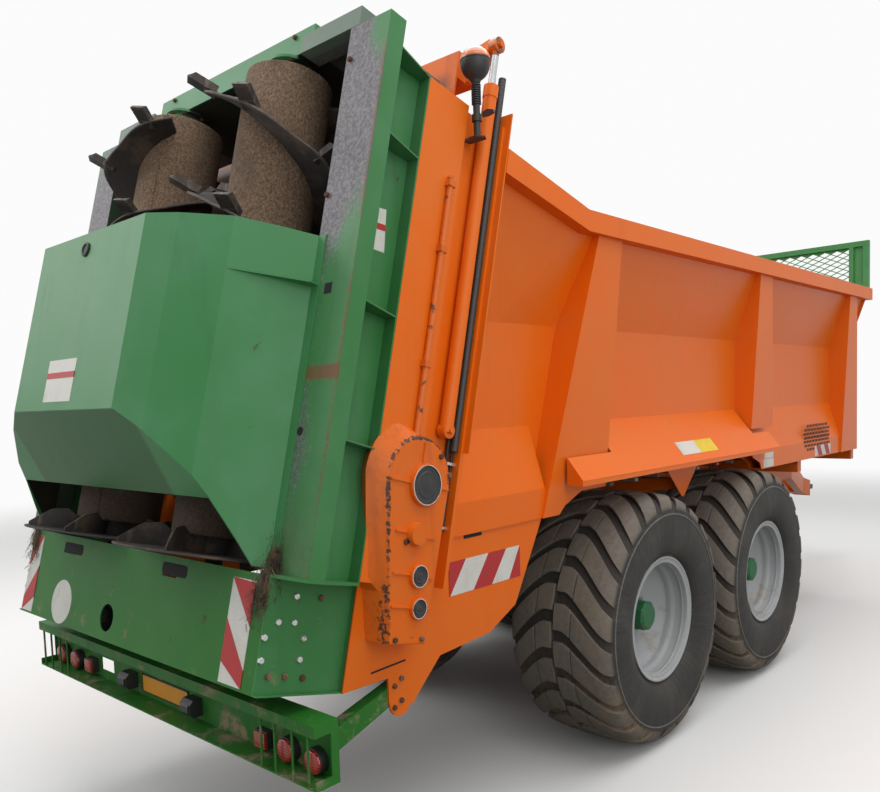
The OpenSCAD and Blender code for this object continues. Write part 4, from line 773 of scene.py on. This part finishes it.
def straw_crust():
    """Chopped straw and dried dung: pale flecks in a brown crust, damp and darker in patches."""
    crust = Finish("straw_crust")
    x, v, w = lean_place(crust)
    flecks = noise(crust, 210.0, 3.0, rough=0.8)
    fibres = noise(crust, 105.0, 5.0, stretch=(1.0, 1.0, 0.7), rough=0.78, shift=(3.0, 1.0, 2.0))
    patch = noise(crust, 2.6, 4.0, shift=(0.0, 2.0, 6.0))
    tone = crust.mix((flecks * 0.9 + fibres * 0.9).step(0.74, 1.12), (0.100, 0.060, 0.038),
                     (0.37, 0.25, 0.155))
    tone = crust.mix(patch.step(0.48, 0.75) * 0.7, tone, (0.062, 0.042, 0.032))
    tone = crust.mix((1 - w.step(0.75, 1.15)) * 0.75, tone, (0.030, 0.020, 0.016))
    crust.set(Base_Color=tone, Roughness=(0.80 + flecks * 0.2).clamp(),
              Normal=bumps(crust, flecks + fibres * 0.6, 0.006))
    return crust.owner


def worn_flights():
    """Steel blackened by dung, brown in patches and rubbed bright towards the outer edges."""
    steel = Finish("worn_flights")
    x, v, w = lean_place(steel)
    off, ahead = abs(x) - BEATER_X, v - BEATER_V
    radius = steel.length(off, ahead)
    edge = radius.step(0.322, 0.346) * (1 - radius.step(0.349, 0.353)) + radius.step(0.396, 0.420)
    fine = noise(steel, 48.0, 7.0, rough=0.75)
    patch = noise(steel, 8.0, 5.0, shift=(2.0, 8.0, 1.0))
    tone = steel.mix(fine, (0.014, 0.012, 0.013), (0.052, 0.042, 0.037))
    tone = steel.mix((patch + fine * 0.3).step(0.62, 0.85) * 0.7, tone, (0.125, 0.086, 0.058))
    bright = (edge * (fine * 2.2 - 0.78)).clamp()
    tone = steel.mix(bright * 0.8, tone, (0.24, 0.20, 0.175))
    steel.set(Base_Color=tone, Roughness=(0.72 - bright * 0.25).clamp(), Metallic=bright * 0.5,
              Normal=bumps(steel, fine + patch * 0.5, 0.004))
    return steel.owner


crust, flight_steel = straw_crust(), worn_flights()
# Outlines of the turned parts: (up the axis, radius)
drum = [(0.520, 0.0), (0.520, 0.183), (0.525, 0.188), (2.515, 0.188), (2.520, 0.183), (2.520, 0.0)]
disc = [(0.444, 0.0), (0.444, 0.398), (0.447, 0.403), (0.451, 0.403), (0.454, 0.399), (0.454, 0.092),
        (0.519, 0.090), (0.519, 0.0)]
shaft = [(0.070, 0.0), (0.070, 0.035), (2.625, 0.035), (2.625, 0.0)]
drum, disc, shaft = [spun(profile, (0, 0, 0), (0, 0, 1), steps, closed=False)
                     for profile, steps in ((drum, 96), (disc, 72), (shaft, 32))]
seam = box((0.1865, -0.005, 0.530), (0.1912, 0.005, 2.510))
pin = box((0.186, -0.006, -0.006), (0.245, 0.006, 0.006))
pin_places = ((-2.40, 1.76), (0.74, 1.80), (-2.40, 2.20), (0.74, 1.36))
for side, hand, seam_turn in ((1, "right", -2.71), (-1, "left", -1.03)):
    pins = [on_beater(pin, side, turn, 0.0, rise) for turn, rise in pin_places]
    caked = solid("beater_drum_" + hand, *joined([on_beater(drum, side), on_beater(seam, side, seam_turn),
                                                  on_beater(seam, side, seam_turn + math.pi), *pins]),
                  hand + "_beater", crust, "worn_steel", 40.0)
    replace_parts(caked, "beater_" + hand)
    steel = [on_beater(disc, side), on_beater(shaft, side)]
    steel += [on_beater(throwing_plate(), side, i * math.pi / 3, 0.0, 0.454) for i in range(6)]
    for start in (0.0, math.pi):
        steel.append(on_beater(flight(), side, start))
        steel += [on_beater(knife(), side, start + i * math.pi / 3, 0.301, FLIGHT_W + PITCH * i / 6,
                            math.radians(18.0))
                  for i in range(1, KNIVES + 1)]
    solid("beater_flights_" + hand, *joined(steel), hand + "_beater", flight_steel, "worn_steel", 35.0)


# Top beam and posts: a folded box across the posts with a plate forward over the
# beaters, two bearing housings and low end plates. Green enamel, rubbed to grey
# steel on the posts' rear faces and black with dung on every inner face, which under the beam's plate is
# painted shade as well.
def post_wear(paint, tone):
    """The green rubbed off towards the inner edge and at half height, rust along the outer edge, moss at
    the foot and dung inside."""
    x, v, w = lean_place(paint)
    out = abs(x)
    speck = noise(paint, 70.0, 5.0, rough=0.75, shift=(6.0, 2.0, 2.0))
    cloud = noise(paint, 5.0, 4.0, stretch=(1.0, 1.0, 0.4), shift=(1.0, 5.0, 2.0))
    rear = (1 - v.step(0.046, 0.052)) * w.step(0.424, 0.430) * out.step(0.938, 0.942)
    bare = 0.16 + w.step(1.40, 2.05) * 0.42 - w.step(2.20, 2.55) * 0.20 - out.step(1.00, 1.16) * 0.30
    bare = rear * (bare + cloud * 0.6 + speck * 0.55 - 0.40).step(0.24, 0.50)
    tone = paint.cake(bare, tone, speck.step(0.35, 0.65), (0.070, 0.062, 0.070), (0.215, 0.20, 0.215))
    edge = out.step(1.148, 1.160) * rear * speck.step(0.42, 0.52) * cloud.step(0.35, 0.6)
    band = rear * (1 - (abs(w - 1.165) + (speck - 0.5) * 0.05).step(0.020, 0.034)) * out.step(0.965, 0.99)
    tone = paint.cake((edge * 0.85 + band * (cloud + 0.35)).clamp(), tone, speck, RUST, (0.22, 0.085, 0.035))
    moss = rear * (1 - w.step(0.46, 0.78)) * (speck * 0.7 + cloud * 0.5).step(0.42, 0.78)
    tone = paint.cake(moss * 0.8, tone, speck, (0.040, 0.050, 0.012), (0.120, 0.115, 0.045))
    inside = 1 - out.step(0.9385, 0.9445)
    return paint.cake(inside * 0.94, tone, speck, (0.010, 0.009, 0.011), (0.040, 0.034, 0.032))


def beam_dung_and_shade(paint, tone):
    """Clean paint on the beam's rear face and top, dung and painted shade on all that faces the beaters."""
    x, v, w = lean_place(paint)
    speck = noise(paint, 60.0, 5.0, rough=0.75)
    # Dung and painted shade: near black under the plate and on every face towards the beaters.
    inside = v.step(0.093, 0.098) * (1 - w.step(2.6065, 2.6090))
    tone = paint.cake(inside * 0.95, tone, speck, (0.008, 0.008, 0.010), (0.034, 0.030, 0.030))
    ends = abs(x).step(0.616, 0.619) * (1 - w.step(2.6325, 2.6340))
    return paint.mix(ends * (speck + 0.15), tone, (0.16, 0.155, 0.16))


wear(["beater_side_right", "beater_side_left"],
     enamel("green_posts", (0.040, 0.185, 0.050), (0.075, 0.225, 0.095), chips=0.8, mud=0.5, stains=0.5,
            over=post_wear))
green_beam = enamel("green_beam", (0.055, 0.205, 0.080), (0.090, 0.245, 0.120), chips=0.4, mud=0.2,
                    stains=0.35, over=beam_dung_and_shade)
beam = [box((-0.630, 0.090, 2.600), (0.630, 0.170, 2.712)),
        box((-0.940, 0.170, 2.600), (0.940, 0.560, 2.606))]
for side in (1, -1):
    beam += [box((0.932 * side, 0.052, 2.420), (0.940 * side, 0.560, 2.600)),
             box((0.618 * side, 0.046, 2.553), (0.985 * side, 0.150, 2.632)),
             spun([(2.530, 0.0365), (2.530, 0.078), (2.588, 0.078), (2.588, 0.105), (2.600, 0.105)],
                  (BEATER_X * side, BEATER_V, 0), (0, 0, 1), 40, closed=False)]
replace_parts(leaning_solid("beam_box", beam, green_beam, "green_paint", 30.0), "top_beam")
turn = np.arange(6) * np.pi / 3 + 0.3
housing = [np.stack([BEATER_X * side + 0.092 * np.cos(turn), BEATER_V + 0.092 * np.sin(turn),
                     2.588 + 0 * turn], 1)
           for side in (1, -1)]
rear_bolts = [(side * x, v, w) for side in (1, -1)
              for x, v, w in ((0.500, 0.090, 2.690), (0.967, 0.045, 2.410), (0.953, 0.045, 1.862))]
leaning_solid("beam_bolts", [studs(np.concatenate(housing), (0, 0, -1), 0.010, 0.012),
                             studs(rear_bolts, (0, -1, 0), 0.011, 0.012)], rusty, "worn_steel", 25.0)


# Gate lift and pipes: chromed rods with rusty orange eyes, an orange conduit and
# a black oil hose in the frames' recess, and the gate's rear side, dark with dung and painted shade.
def gate_dung_and_shade(paint, tone):
    """Dried dung and painted shade on the side that faces the beaters, up to the beam."""
    x, v, w = lean_place(paint)
    speck = noise(paint, 50.0, 6.0, rough=0.75)
    # Dung and painted shade: the gate's rear side, which faces the beaters, is darkened to near black.
    inside = (1 - v.step(0.6045, 0.6075)) * (1 - abs(x).step(0.90, 0.99)) * (1 - w.step(2.60, 2.70))
    return paint.cake(inside * 0.95, tone, speck, (0.016, 0.013, 0.011), (0.075, 0.054, 0.038))


wear(["gate"], enamel("orange_gate", (0.74, 0.135, 0.004), (0.66, 0.155, 0.020), chips=0.9, mud=0.6,
                      stains=0.4, over=gate_dung_and_shade))


def pipe_finish():
    """Orange paint on the conduit and ribbed black rubber on the hose behind it."""
    pipe = Finish("conduit_and_hose")
    x, v, w = lean_place(pipe)
    hose = v.step(0.598, 0.602)
    fine = noise(pipe, 60.0, 5.0, rough=0.7)
    ribs = pipe.math("SINE", w * 420.0) * 0.5 + 0.5
    rust = (noise(pipe, 22.0, 6.0, rough=0.7) + fine * 0.2).step(0.66, 0.72) * (1 - hose)
    tone = pipe.mix(fine, (0.60, 0.105, 0.004), (0.78, 0.16, 0.012))
    tone = pipe.cake(hose, tone, fine, (0.012, 0.012, 0.013), (0.05, 0.046, 0.042))
    pipe.set(Base_Color=pipe.mix(rust, tone, RUST), Roughness=(0.38 + fine * 0.2 + rust * 0.3).clamp(),
             Normal=bumps(pipe, fine * 0.3 + ribs * hose * 0.5, 0.001))
    return pipe.owner


wear(["pipes"], pipe_finish())
chrome = Finish("chromed_rod")
x, v, w = lean_place(chrome)
eye = w.step(2.738, 2.744)
worn_eye = noise(chrome, 20.0, 6.0, rough=0.7, shift=(1.0, 1.0, 4.0)).step(0.46, 0.56)
polish = noise(chrome, 40.0, 3.0, stretch=(1.0, 1.0, 0.2)) * 0.2 + 0.08
tone = chrome.cake(eye, (0.62, 0.63, 0.64), worn_eye, (0.70, 0.135, 0.006), (0.24, 0.075, 0.03))
chrome.set(Base_Color=tone, Metallic=1 - eye, Roughness=polish.clamp())
wear(["gate_rods"], chrome.owner)
gate_bolts = [(x * side, 0.665, w) for side in (1, -1)
              for x, w in ((0.935, 2.690), (0.960, 2.712), (0.985, 2.735))]
clips = [box((1.1185 * side, 0.492, w), (1.1495 * side, 0.532, w + 0.026)) for side in (1, -1)
         for w in (1.30, 1.78, 2.06)]
leaning_solid("gate_arm_bolts", [studs(gate_bolts, (0, -1, 0), 0.013, 0.012)], rusty, "worn_steel", 25.0,
              "sliding_gate")
leaning_solid("conduit_clips", clips, orange_worn, "orange_paint", 30.0)


# Side fittings: blank labels on the mudguards and skirts, the perforated oval in the front skirt, its
# reflective strip, and the slots and bolts of the cheeks; the holes and slots are black patches of painted
# shade.
def on_guard(y0, y1, x0, x1, side):
    """A thin label between two distances out on the mudguard, which falls by fall for each metre out."""
    fall, under, over = 1.2445, 0.0045, 0.0062
    normal = np.array([math.sin(math.atan(fall)), math.cos(math.atan(fall))])
    inner, outer = [np.array([x, 1.875 - (x - 0.966) * fall]) for x in (x0, x1)]
    outline = [inner + under * normal, outer + under * normal, outer + over * normal, inner + over * normal]
    return prism([(x * side, z) for x, z in outline], REAR_AXLE_Y + y0, REAR_AXLE_Y + y1, 1)


white, yellow, red, dark, gap_t = [], [], [], [], 0.0008
for side in (1, -1):
    white.append(on_guard(0.37, 0.62, 1.100, 1.160, side))
    yellow.append(on_guard(0.62, 0.87, 1.100, 1.160, side))
    skirt, cheek = WALL_X * side, CHEEK_X * side
    for y0, y1, z0, z1 in ((1.925, 2.105, 1.495, 1.572), (1.905, 2.110, 1.428, 1.490),
                           (3.06, 3.48, 1.432, 1.520)):
        white.append(box((skirt, y0 + REAR_AXLE_Y, z0), (skirt + label_t * side, y1 + REAR_AXLE_Y, z1)))
    for start in (3.10, 3.30):
        corners = [(start + 0.06, 1.432), (start + 0.16, 1.432), (start + 0.10, 1.520), (start, 1.520)]
        red.append(prism([(y + REAR_AXLE_Y, z) for y, z in corners], skirt, skirt + 2 * label_t * side))
    # Holes of the perforated oval, black discs of painted shade: staggered rows inside the rounded outline
    column, row = np.meshgrid(np.arange(17), np.arange(7))
    y = 2.80 + (column + 0.5 * (row % 2)) * 0.0385
    z = 1.500 + row * 0.033
    inside = (np.abs(y - 3.125) / 0.345) ** 4 + (np.abs(z - 1.600) / 0.112) ** 4 < 1
    holes = np.stack([np.full(inside.sum(), skirt), y[inside] + REAR_AXLE_Y, z[inside]], 1)
    dark.append(studs(holes, (side, 0, 0), 0.0135, 0.0010, 8))
    # Slots in the cheek and the rear frame's round and square holes, as black patches of painted shade; also
    # a dark seam line
    for y0, y1, z0, z1 in ((-1.543, -1.418, 1.402, 1.451), (-1.729, -1.665, 1.230, 1.376)):
        dark.append(box((cheek, y0 + REAR_AXLE_Y, z0), (cheek + gap_t * side, y1 + REAR_AXLE_Y, z1)))
    seam = [(y + REAR_AXLE_Y, z)
            for y, z in ((-2.123, 0.952), (-1.929, 0.956), (-1.929, 0.964), (-2.123, 0.960))]
    dark.append(prism(seam, cheek, cheek + gap_t * side))
    dark.append(leaning(box((FOLD_X * side, 0.0445, 1.464), (WALL_X * side, 0.0452, 1.506))))
    dark.append(leaning(prism(round_outline((1.001 * side, 0.948), 0.017, 0.017, 20), 0.0445, 0.0452, 1)))
solid("side_labels_white", *joined(white), "frame", white_vinyl, "orange_paint", 0)
solid("side_labels_yellow", *joined(yellow), "frame", yellow_vinyl, "orange_paint", 0)
solid("side_labels_red", *joined(red), "frame", red_vinyl, "orange_paint", 0)
# Painted shade: a near-black finish for what is seen through holes, slots and windows.
hole_shade = vinyl("hole_shade", (0.003, 0.003, 0.003), dirt=0.04, rough=0.8)
solid("painted_opening_shade", *joined(dark), "frame", hole_shade, "black_paint", 0)
lobe_rows = [(-1.960, 0.892), (-1.999, 0.870), (-1.962, 0.801), (-2.003, 0.782)]
lobe_bolts = [studs([(CHEEK_X * side, y + REAR_AXLE_Y, z) for y, z in lobe_rows], (side, 0, 0), 0.012, 0.010)
              for side in (1, -1)]
solid("lobe_bolts", *joined(lobe_bolts), "frame", rusty, "worn_steel", 25.0)


# Gearcase: a welded case on the right cheek, flared at its back, with ribs
# across the cover and black rubber caps in steel collars over the shaft ends.
# Its orange paint is chipped to rust along the edges.
ARCH_V, ARCH_W, ARCH_R, COVER_X = 0.539, 0.846, 0.1735, 1.162


def case_wear(paint, tone):
    """Paint knocked off along the cover's rear edge and arch, and a duller orange on the flared flank."""
    x, v, w = lean_place(paint)
    speck = noise(paint, 46.0, 7.0, rough=0.75, shift=(8.0, 2.0, 2.0))
    cloud = noise(paint, 9.0, 4.0, shift=(2.0, 2.0, 9.0))
    arch = abs(paint.length(v - ARCH_V, w - ARCH_W) - ARCH_R)
    straight = abs(v - 0.489 + (w - 0.204) * 0.1924)
    upper = w.step(ARCH_W - 0.01, ARCH_W + 0.01)
    near = 1 - (arch * upper + straight * (1 - upper)).step(0.003, 0.022)
    chips = (near * 0.22 + speck * 0.8 + cloud * 0.4 - 0.14).step(0.64, 0.68)
    tone = paint.cake(chips * near.step(0.02, 0.3), tone, speck, (0.030, 0.018, 0.014), (0.11, 0.050, 0.030))
    rear = (1 - x.step(1.150, 1.158)) * (speck * 0.7 + cloud * 0.6).step(0.55, 0.95)
    return paint.mix(rear * 0.45, tone, (0.22, 0.062, 0.012))


arc = np.linspace(0.0, np.pi, 28)
arc = np.stack([ARCH_V + ARCH_R * np.cos(arc), ARCH_W + ARCH_R * np.sin(arc)], 1)
outline = np.concatenate([[(0.489, 0.204), (0.692, 0.208)], arc, [(0.442, 0.450), (0.451, 0.400)]])
away = np.stack([outline[:, 0] - ARCH_V, np.maximum(outline[:, 1] - ARCH_W, 0)], 1)
away /= np.linalg.norm(away, axis=1)[:, None]
rear = np.clip((ARCH_V - outline[:, 0]) / 0.10, 0, 1)[:, None]
foot = outline + away * rear * 0.045
skirt = outline + away * rear * (0.016 + 0.064 * np.clip((outline[:, 1:] - 0.40) / 0.05, 0, 1))
centre = np.array([0.560, 0.60])
inset = outline + (centre - outline) * 0.012
levels = ((foot, 1.048), (skirt, 1.117), (outline, COVER_X - 0.003), (inset, COVER_X))
points, faces = grid(np.stack([np.insert(ring, 0, x, axis=1) for ring, x in levels]),
                     closed_v=True, flip=True)
n = len(outline)
case = [(points, faces + [[3 * n + i for i in range(n)]])]
# Shaft ends on the cover: (ahead, up, collar's radius, its height, the cap's radius or 0 for a boss)
shaft_ends = ((0.564, 0.833, 0.084, 0.022, 0.077), (0.553, 0.635, 0.050, 0.026, 0.0),
              (0.596, 0.474, 0.048, 0.018, 0.041), (0.617, 0.348, 0.044, 0.018, 0.037))
# Ribs across the cover: (level, where each starts and ends)
cover_ribs = ((0.833, 0.378, 0.480), (0.833, 0.648, 0.706), (0.640, 0.440, 0.504), (0.628, 0.602, 0.664),
              (0.478, 0.455, 0.548), (0.470, 0.644, 0.684), (0.350, 0.470, 0.573), (0.346, 0.661, 0.690))
caps, collars = [], []
for v, w, radius, tall, inner in shaft_ends:
    middle = (COVER_X, v, w)
    if inner:
        lip, sunk, proud = inner + 0.003, tall - 0.003, tall + 0.0006
        case.append(spun([(0.0, radius - 0.003), (0.0, radius), (tall - 0.002, radius),
                          (tall, radius - 0.002), (tall, lip), (0.0, lip)], middle, (1, 0, 0), 40))
        collars.append(spun([(sunk, lip), (proud, lip), (proud, inner), (sunk, inner)],
                            middle, (1, 0, 0), 40))
        cap = [(0.006, inner), (0.002, inner - 0.004), (0.004, inner * 0.72), (0.001, inner * 0.66),
               (0.003, inner * 0.40), (0.001, inner * 0.30), (0.001, 0.0)]
        caps.append(spun([(tall - below, radius) for below, radius in cap],
                         middle, (1, 0, 0), 40, closed=False))
    else:
        case.append(spun([(0.0, radius), (tall, radius - 0.006), (tall, 0.0)],
                         middle, (1, 0, 0), 12, closed=False))
for level, start, stop in cover_ribs:
    case.append(box((COVER_X, start, level - 0.004), (COVER_X + 0.008, stop, level + 0.004)))
case.append(box((COVER_X, ARCH_V - 0.004, 0.922), (COVER_X + 0.008, ARCH_V + 0.004, 0.998)))
orange_case = enamel("orange_case", (0.76, 0.135, 0.003), (0.68, 0.155, 0.020), chips=1.0, mud=0.4,
                     stains=0.5, over=case_wear)
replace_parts(leaning_solid("case", case, orange_case, "orange_paint", 30.0), "gearcase")
leaning_solid("case_caps", caps, black_plastic, "black_paint", 35.0)
leaning_solid("case_collars", collars, zinc, "worn_steel", 35.0)
case_bolts = [(COVER_X, v, w) for v, w in ((0.517, 0.222), (0.667, 0.229), (0.504, 0.600), (0.512, 0.606),
                                           (0.705, 0.893), (0.640, 0.960))]
leaning_solid("case_bolts", [studs(case_bolts, (1, 0, 0), 0.012, 0.010)], rusty, "worn_steel", 25.0)


# Oil pipes beside the gearcase: two straight steel pipes with a hex fitting at their
# head and a bracket at their foot, held stiff against the frame's recess.
pipes, fittings = [], []
hexes = [(1.060, 0.0), (1.060, 0.013), (1.085, 0.013), (1.085, 0.010), (1.092, 0.010), (1.092, 0.014),
         (1.118, 0.014), (1.118, 0.0)]
for v, x in ((0.742, 1.101), (0.766, 1.108)):
    pipes.append(spun([(0.665, 0.0), (0.665, 0.0075), (1.090, 0.0075), (1.090, 0.0)],
                      (x, v, 0), (0, 0, 1), 16, closed=False))
    fittings.append(spun(hexes, (x, v, 0), (0, 0, 1), 6, closed=False))
fittings += [box((1.086, 0.728, 0.940), (1.122, 0.778, 0.952)),
             box((1.086, 0.728, 0.672), (1.120, 0.778, 0.684))]
leaning_solid("oil_pipes", pipes, black_paint, "black_paint", 35.0)
leaning_solid("oil_fittings", fittings, zinc, "worn_steel", 30.0)


# Hood, frames, chassis and tub: enamelled sheet steel, black with dung where the beaters throw it
# and scuffed to rust where the load rubs; the hood's folded-in foot facet is darkened as painted shade.
# A thin black plate stands in each of the tailboard's two windows as painted shade for the dark behind it.
def hood_dung_and_shade(paint, tone):
    """Dung on the inner faces: the depth under the folded outside is the largest distance to any of its six
    planes. The facet that folds in at the foot is darkened to a deep green as painted shade."""
    x, v, w = lean_place(paint)
    out = abs(x)
    corners = ((0.945, 0.039), (0.885, -0.075), (0.785, -0.232), (0.600, -0.350), (0.460, -0.410),
               (-0.460, -0.410))
    deepest = None
    for (x0, v0), (x1, v1) in zip(corners, corners[1:]):
        length = math.hypot(x1 - x0, v1 - v0)
        nx, nv = (v0 - v1) / length, (x1 - x0) / length
        away = (out - x0) * nx + (v - v0) * nv
        deepest = away if deepest is None else deepest.most(away)
    slope = math.hypot(0.240, 0.283)
    folded_in = (v - hood_face) * (-0.283 / slope) + (w - 0.945) * (-0.240 / slope)
    deepest = deepest.most(folded_in)
    speck = noise(paint, 55.0, 5.0, rough=0.75)
    # Painted shade: the facet that folds in at the foot is darkened to a deep green.
    facet = (1 - abs(folded_in).step(0.0008, 0.0016)) * (1 - w.step(0.940, 0.944))
    tone = paint.mix(facet * (1 - out.step(0.560, 0.600)) * 0.76, tone, (0.012, 0.078, 0.010))
    inside = 1 - deepest.step(-0.0050, -0.0030)
    return paint.cake(inside * 0.95, tone, speck, (0.008, 0.006, 0.006), (0.040, 0.028, 0.022))


def dung(paint, tone, amount):
    """Black, specked dung over the tone by amount."""
    speck = noise(paint, 50.0, 5.0, rough=0.75)
    return paint.cake(amount * 0.96, tone, speck, (0.010, 0.008, 0.007), (0.055, 0.038, 0.028))


def rear_dung(paint, tone):
    """Dung over all that lies under the beaters, fading out above the rear axle."""
    x, y, z = paint.xyz()
    return dung(paint, tone, (1 - y.step(-3.10, -2.00)) * (1 - abs(x).step(0.97, 1.00)))


def frame_dung(paint, tone):
    """Dung on the frame's inner faces behind the gate, which the beaters throw it at."""
    x, v, w = lean_place(paint)
    inner = 1.001 + (1 - w.step(0.425, 0.435)) * 0.041
    inside = (1 - (abs(x) - inner).step(0.0, 0.002)) * (1 - w.step(2.40, 2.43)) * (1 - v.step(0.598, 0.604))
    return dung(paint, tone, inside)


wear(["hood"], enamel("green_hood", (0.044, 0.205, 0.062), (0.082, 0.25, 0.115), chips=0.35, mud=0.40,
                      stains=0.28, over=hood_dung_and_shade))
wear(["rear_frame_right", "rear_frame_left"], orange_sheet("orange_frame", frame_dung))
wear(["chassis", "tub_floor"], enamel("orange_chassis", (0.70, 0.125, 0.003), (0.60, 0.140, 0.022),
                                      chips=0.9, mud=0.8, stains=0.5, over=rear_dung))
# Painted shade: a thin black plate in each of the tailboard's windows stands for the dark seen through it.
plates, corner = [], 0.010
for x0, x1, low, high in ((-0.642, -0.446, 0.338, 0.388), (0.290, 0.479, 0.343, 0.393)):
    plates.append(prism([(x0 + corner, low), (x1 - corner, low), (x1, low + corner), (x1, high - corner),
                         (x1 - corner, high), (x0 + corner, high), (x0, high - corner), (x0, low + corner)],
                        -0.0012, 0.004, 1))
leaning_solid("window_shade_plates", plates, hole_shade, "black_paint", 0)


def load_wear(paint, tone):
    """Scuffed, rusty paint inside the tub: all that lies nearer the middle than the wall, which leans out
    above its crease ahead of the rail's bend."""
    x, y, z = paint.xyz()
    wall = 0.963 + ((z - 2.375) * (1 / 0.453)).clamp() * 0.146 * y.step(-2.336, -2.331)
    inside = (1 - (abs(x) - wall).step(-0.0005, 0.0015)) * (1 - y.step(2.5735, 2.5765)) * z.step(1.50, 1.56)
    speck = noise(paint, 34.0, 6.0, rough=0.75, shift=(2.0, 4.0, 4.0))
    cloud = noise(paint, 2.4, 4.0, shift=(3.0, 3.0, 1.0))
    low = 1 - z.step(1.60, 2.50)
    worn = (cloud * 0.8 + speck * 0.5 + low * 0.35 - 0.25).step(0.20, 0.62)
    return paint.cake(inside * worn * 0.9, tone, speck, (0.060, 0.032, 0.020), (0.20, 0.095, 0.045))


wear(["side_wall_right", "side_wall_left", "front_wall"], orange_sheet("orange_tub", load_wear))


# Straw caught at the foot of each post: a matted lump of dung bristling with
# loose stalks that hang down.
def straw_lump(x, v, w, seed):
    """An uneven ellipsoid with flat stalks stuck in it: its radii are scaled by
    1 + 0.16 (sin 5a sin 4b + sin(9a + 2b))."""
    a, b = np.meshgrid(np.linspace(0, 2 * np.pi, 28, endpoint=False), np.linspace(0.02, np.pi - 0.02, 16))
    swell = (1 + 0.16 * (np.sin(5 * a + seed) * np.sin(4 * b) + np.sin(9 * a + 2 * b))) * np.sin(b)
    lump = np.stack([x + 0.034 * swell * np.cos(a), v + 0.013 * swell * np.sin(a), w + 0.070 * np.cos(b)], -1)
    random, stalks = np.random.default_rng(seed), 420
    foot = np.stack([x + random.normal(0, 0.030, stalks), v - 0.008 + random.normal(0, 0.005, stalks),
                     w + random.normal(0, 0.055, stalks)], 1)
    hang = np.stack([random.normal(0, 0.026, stalks), -np.abs(random.normal(0, 0.005, stalks)),
                     -random.normal(0.016, 0.016, stalks)], 1)
    wide = np.stack([random.uniform(0.0008, 0.0022, stalks), random.normal(0, 0.0005, stalks),
                     np.zeros(stalks)], 1)
    corners = np.stack([foot - wide, foot + wide, foot + wide * 0.6 + hang, foot - wide * 0.6 + hang], 1)
    return [grid(lump, closed_v=True, flip=True),
            (corners.reshape(-1, 3), np.arange(4 * stalks).reshape(-1, 4).tolist())]


dry_straw = bare_steel("dry_straw", (0.095, 0.070, 0.036), (0.040, 0.030, 0.017), 0.6, rough=0.9, metal=0.0)
for side, hand in SIDES:
    lumps = (straw_lump(0.972 * side, 0.040, 0.455, 3 + side)
             + straw_lump(0.985 * side, 0.002, 0.372, 7 + side))
    leaning_solid("straw_" + hand, lumps, dry_straw, "worn_steel", 60.0)
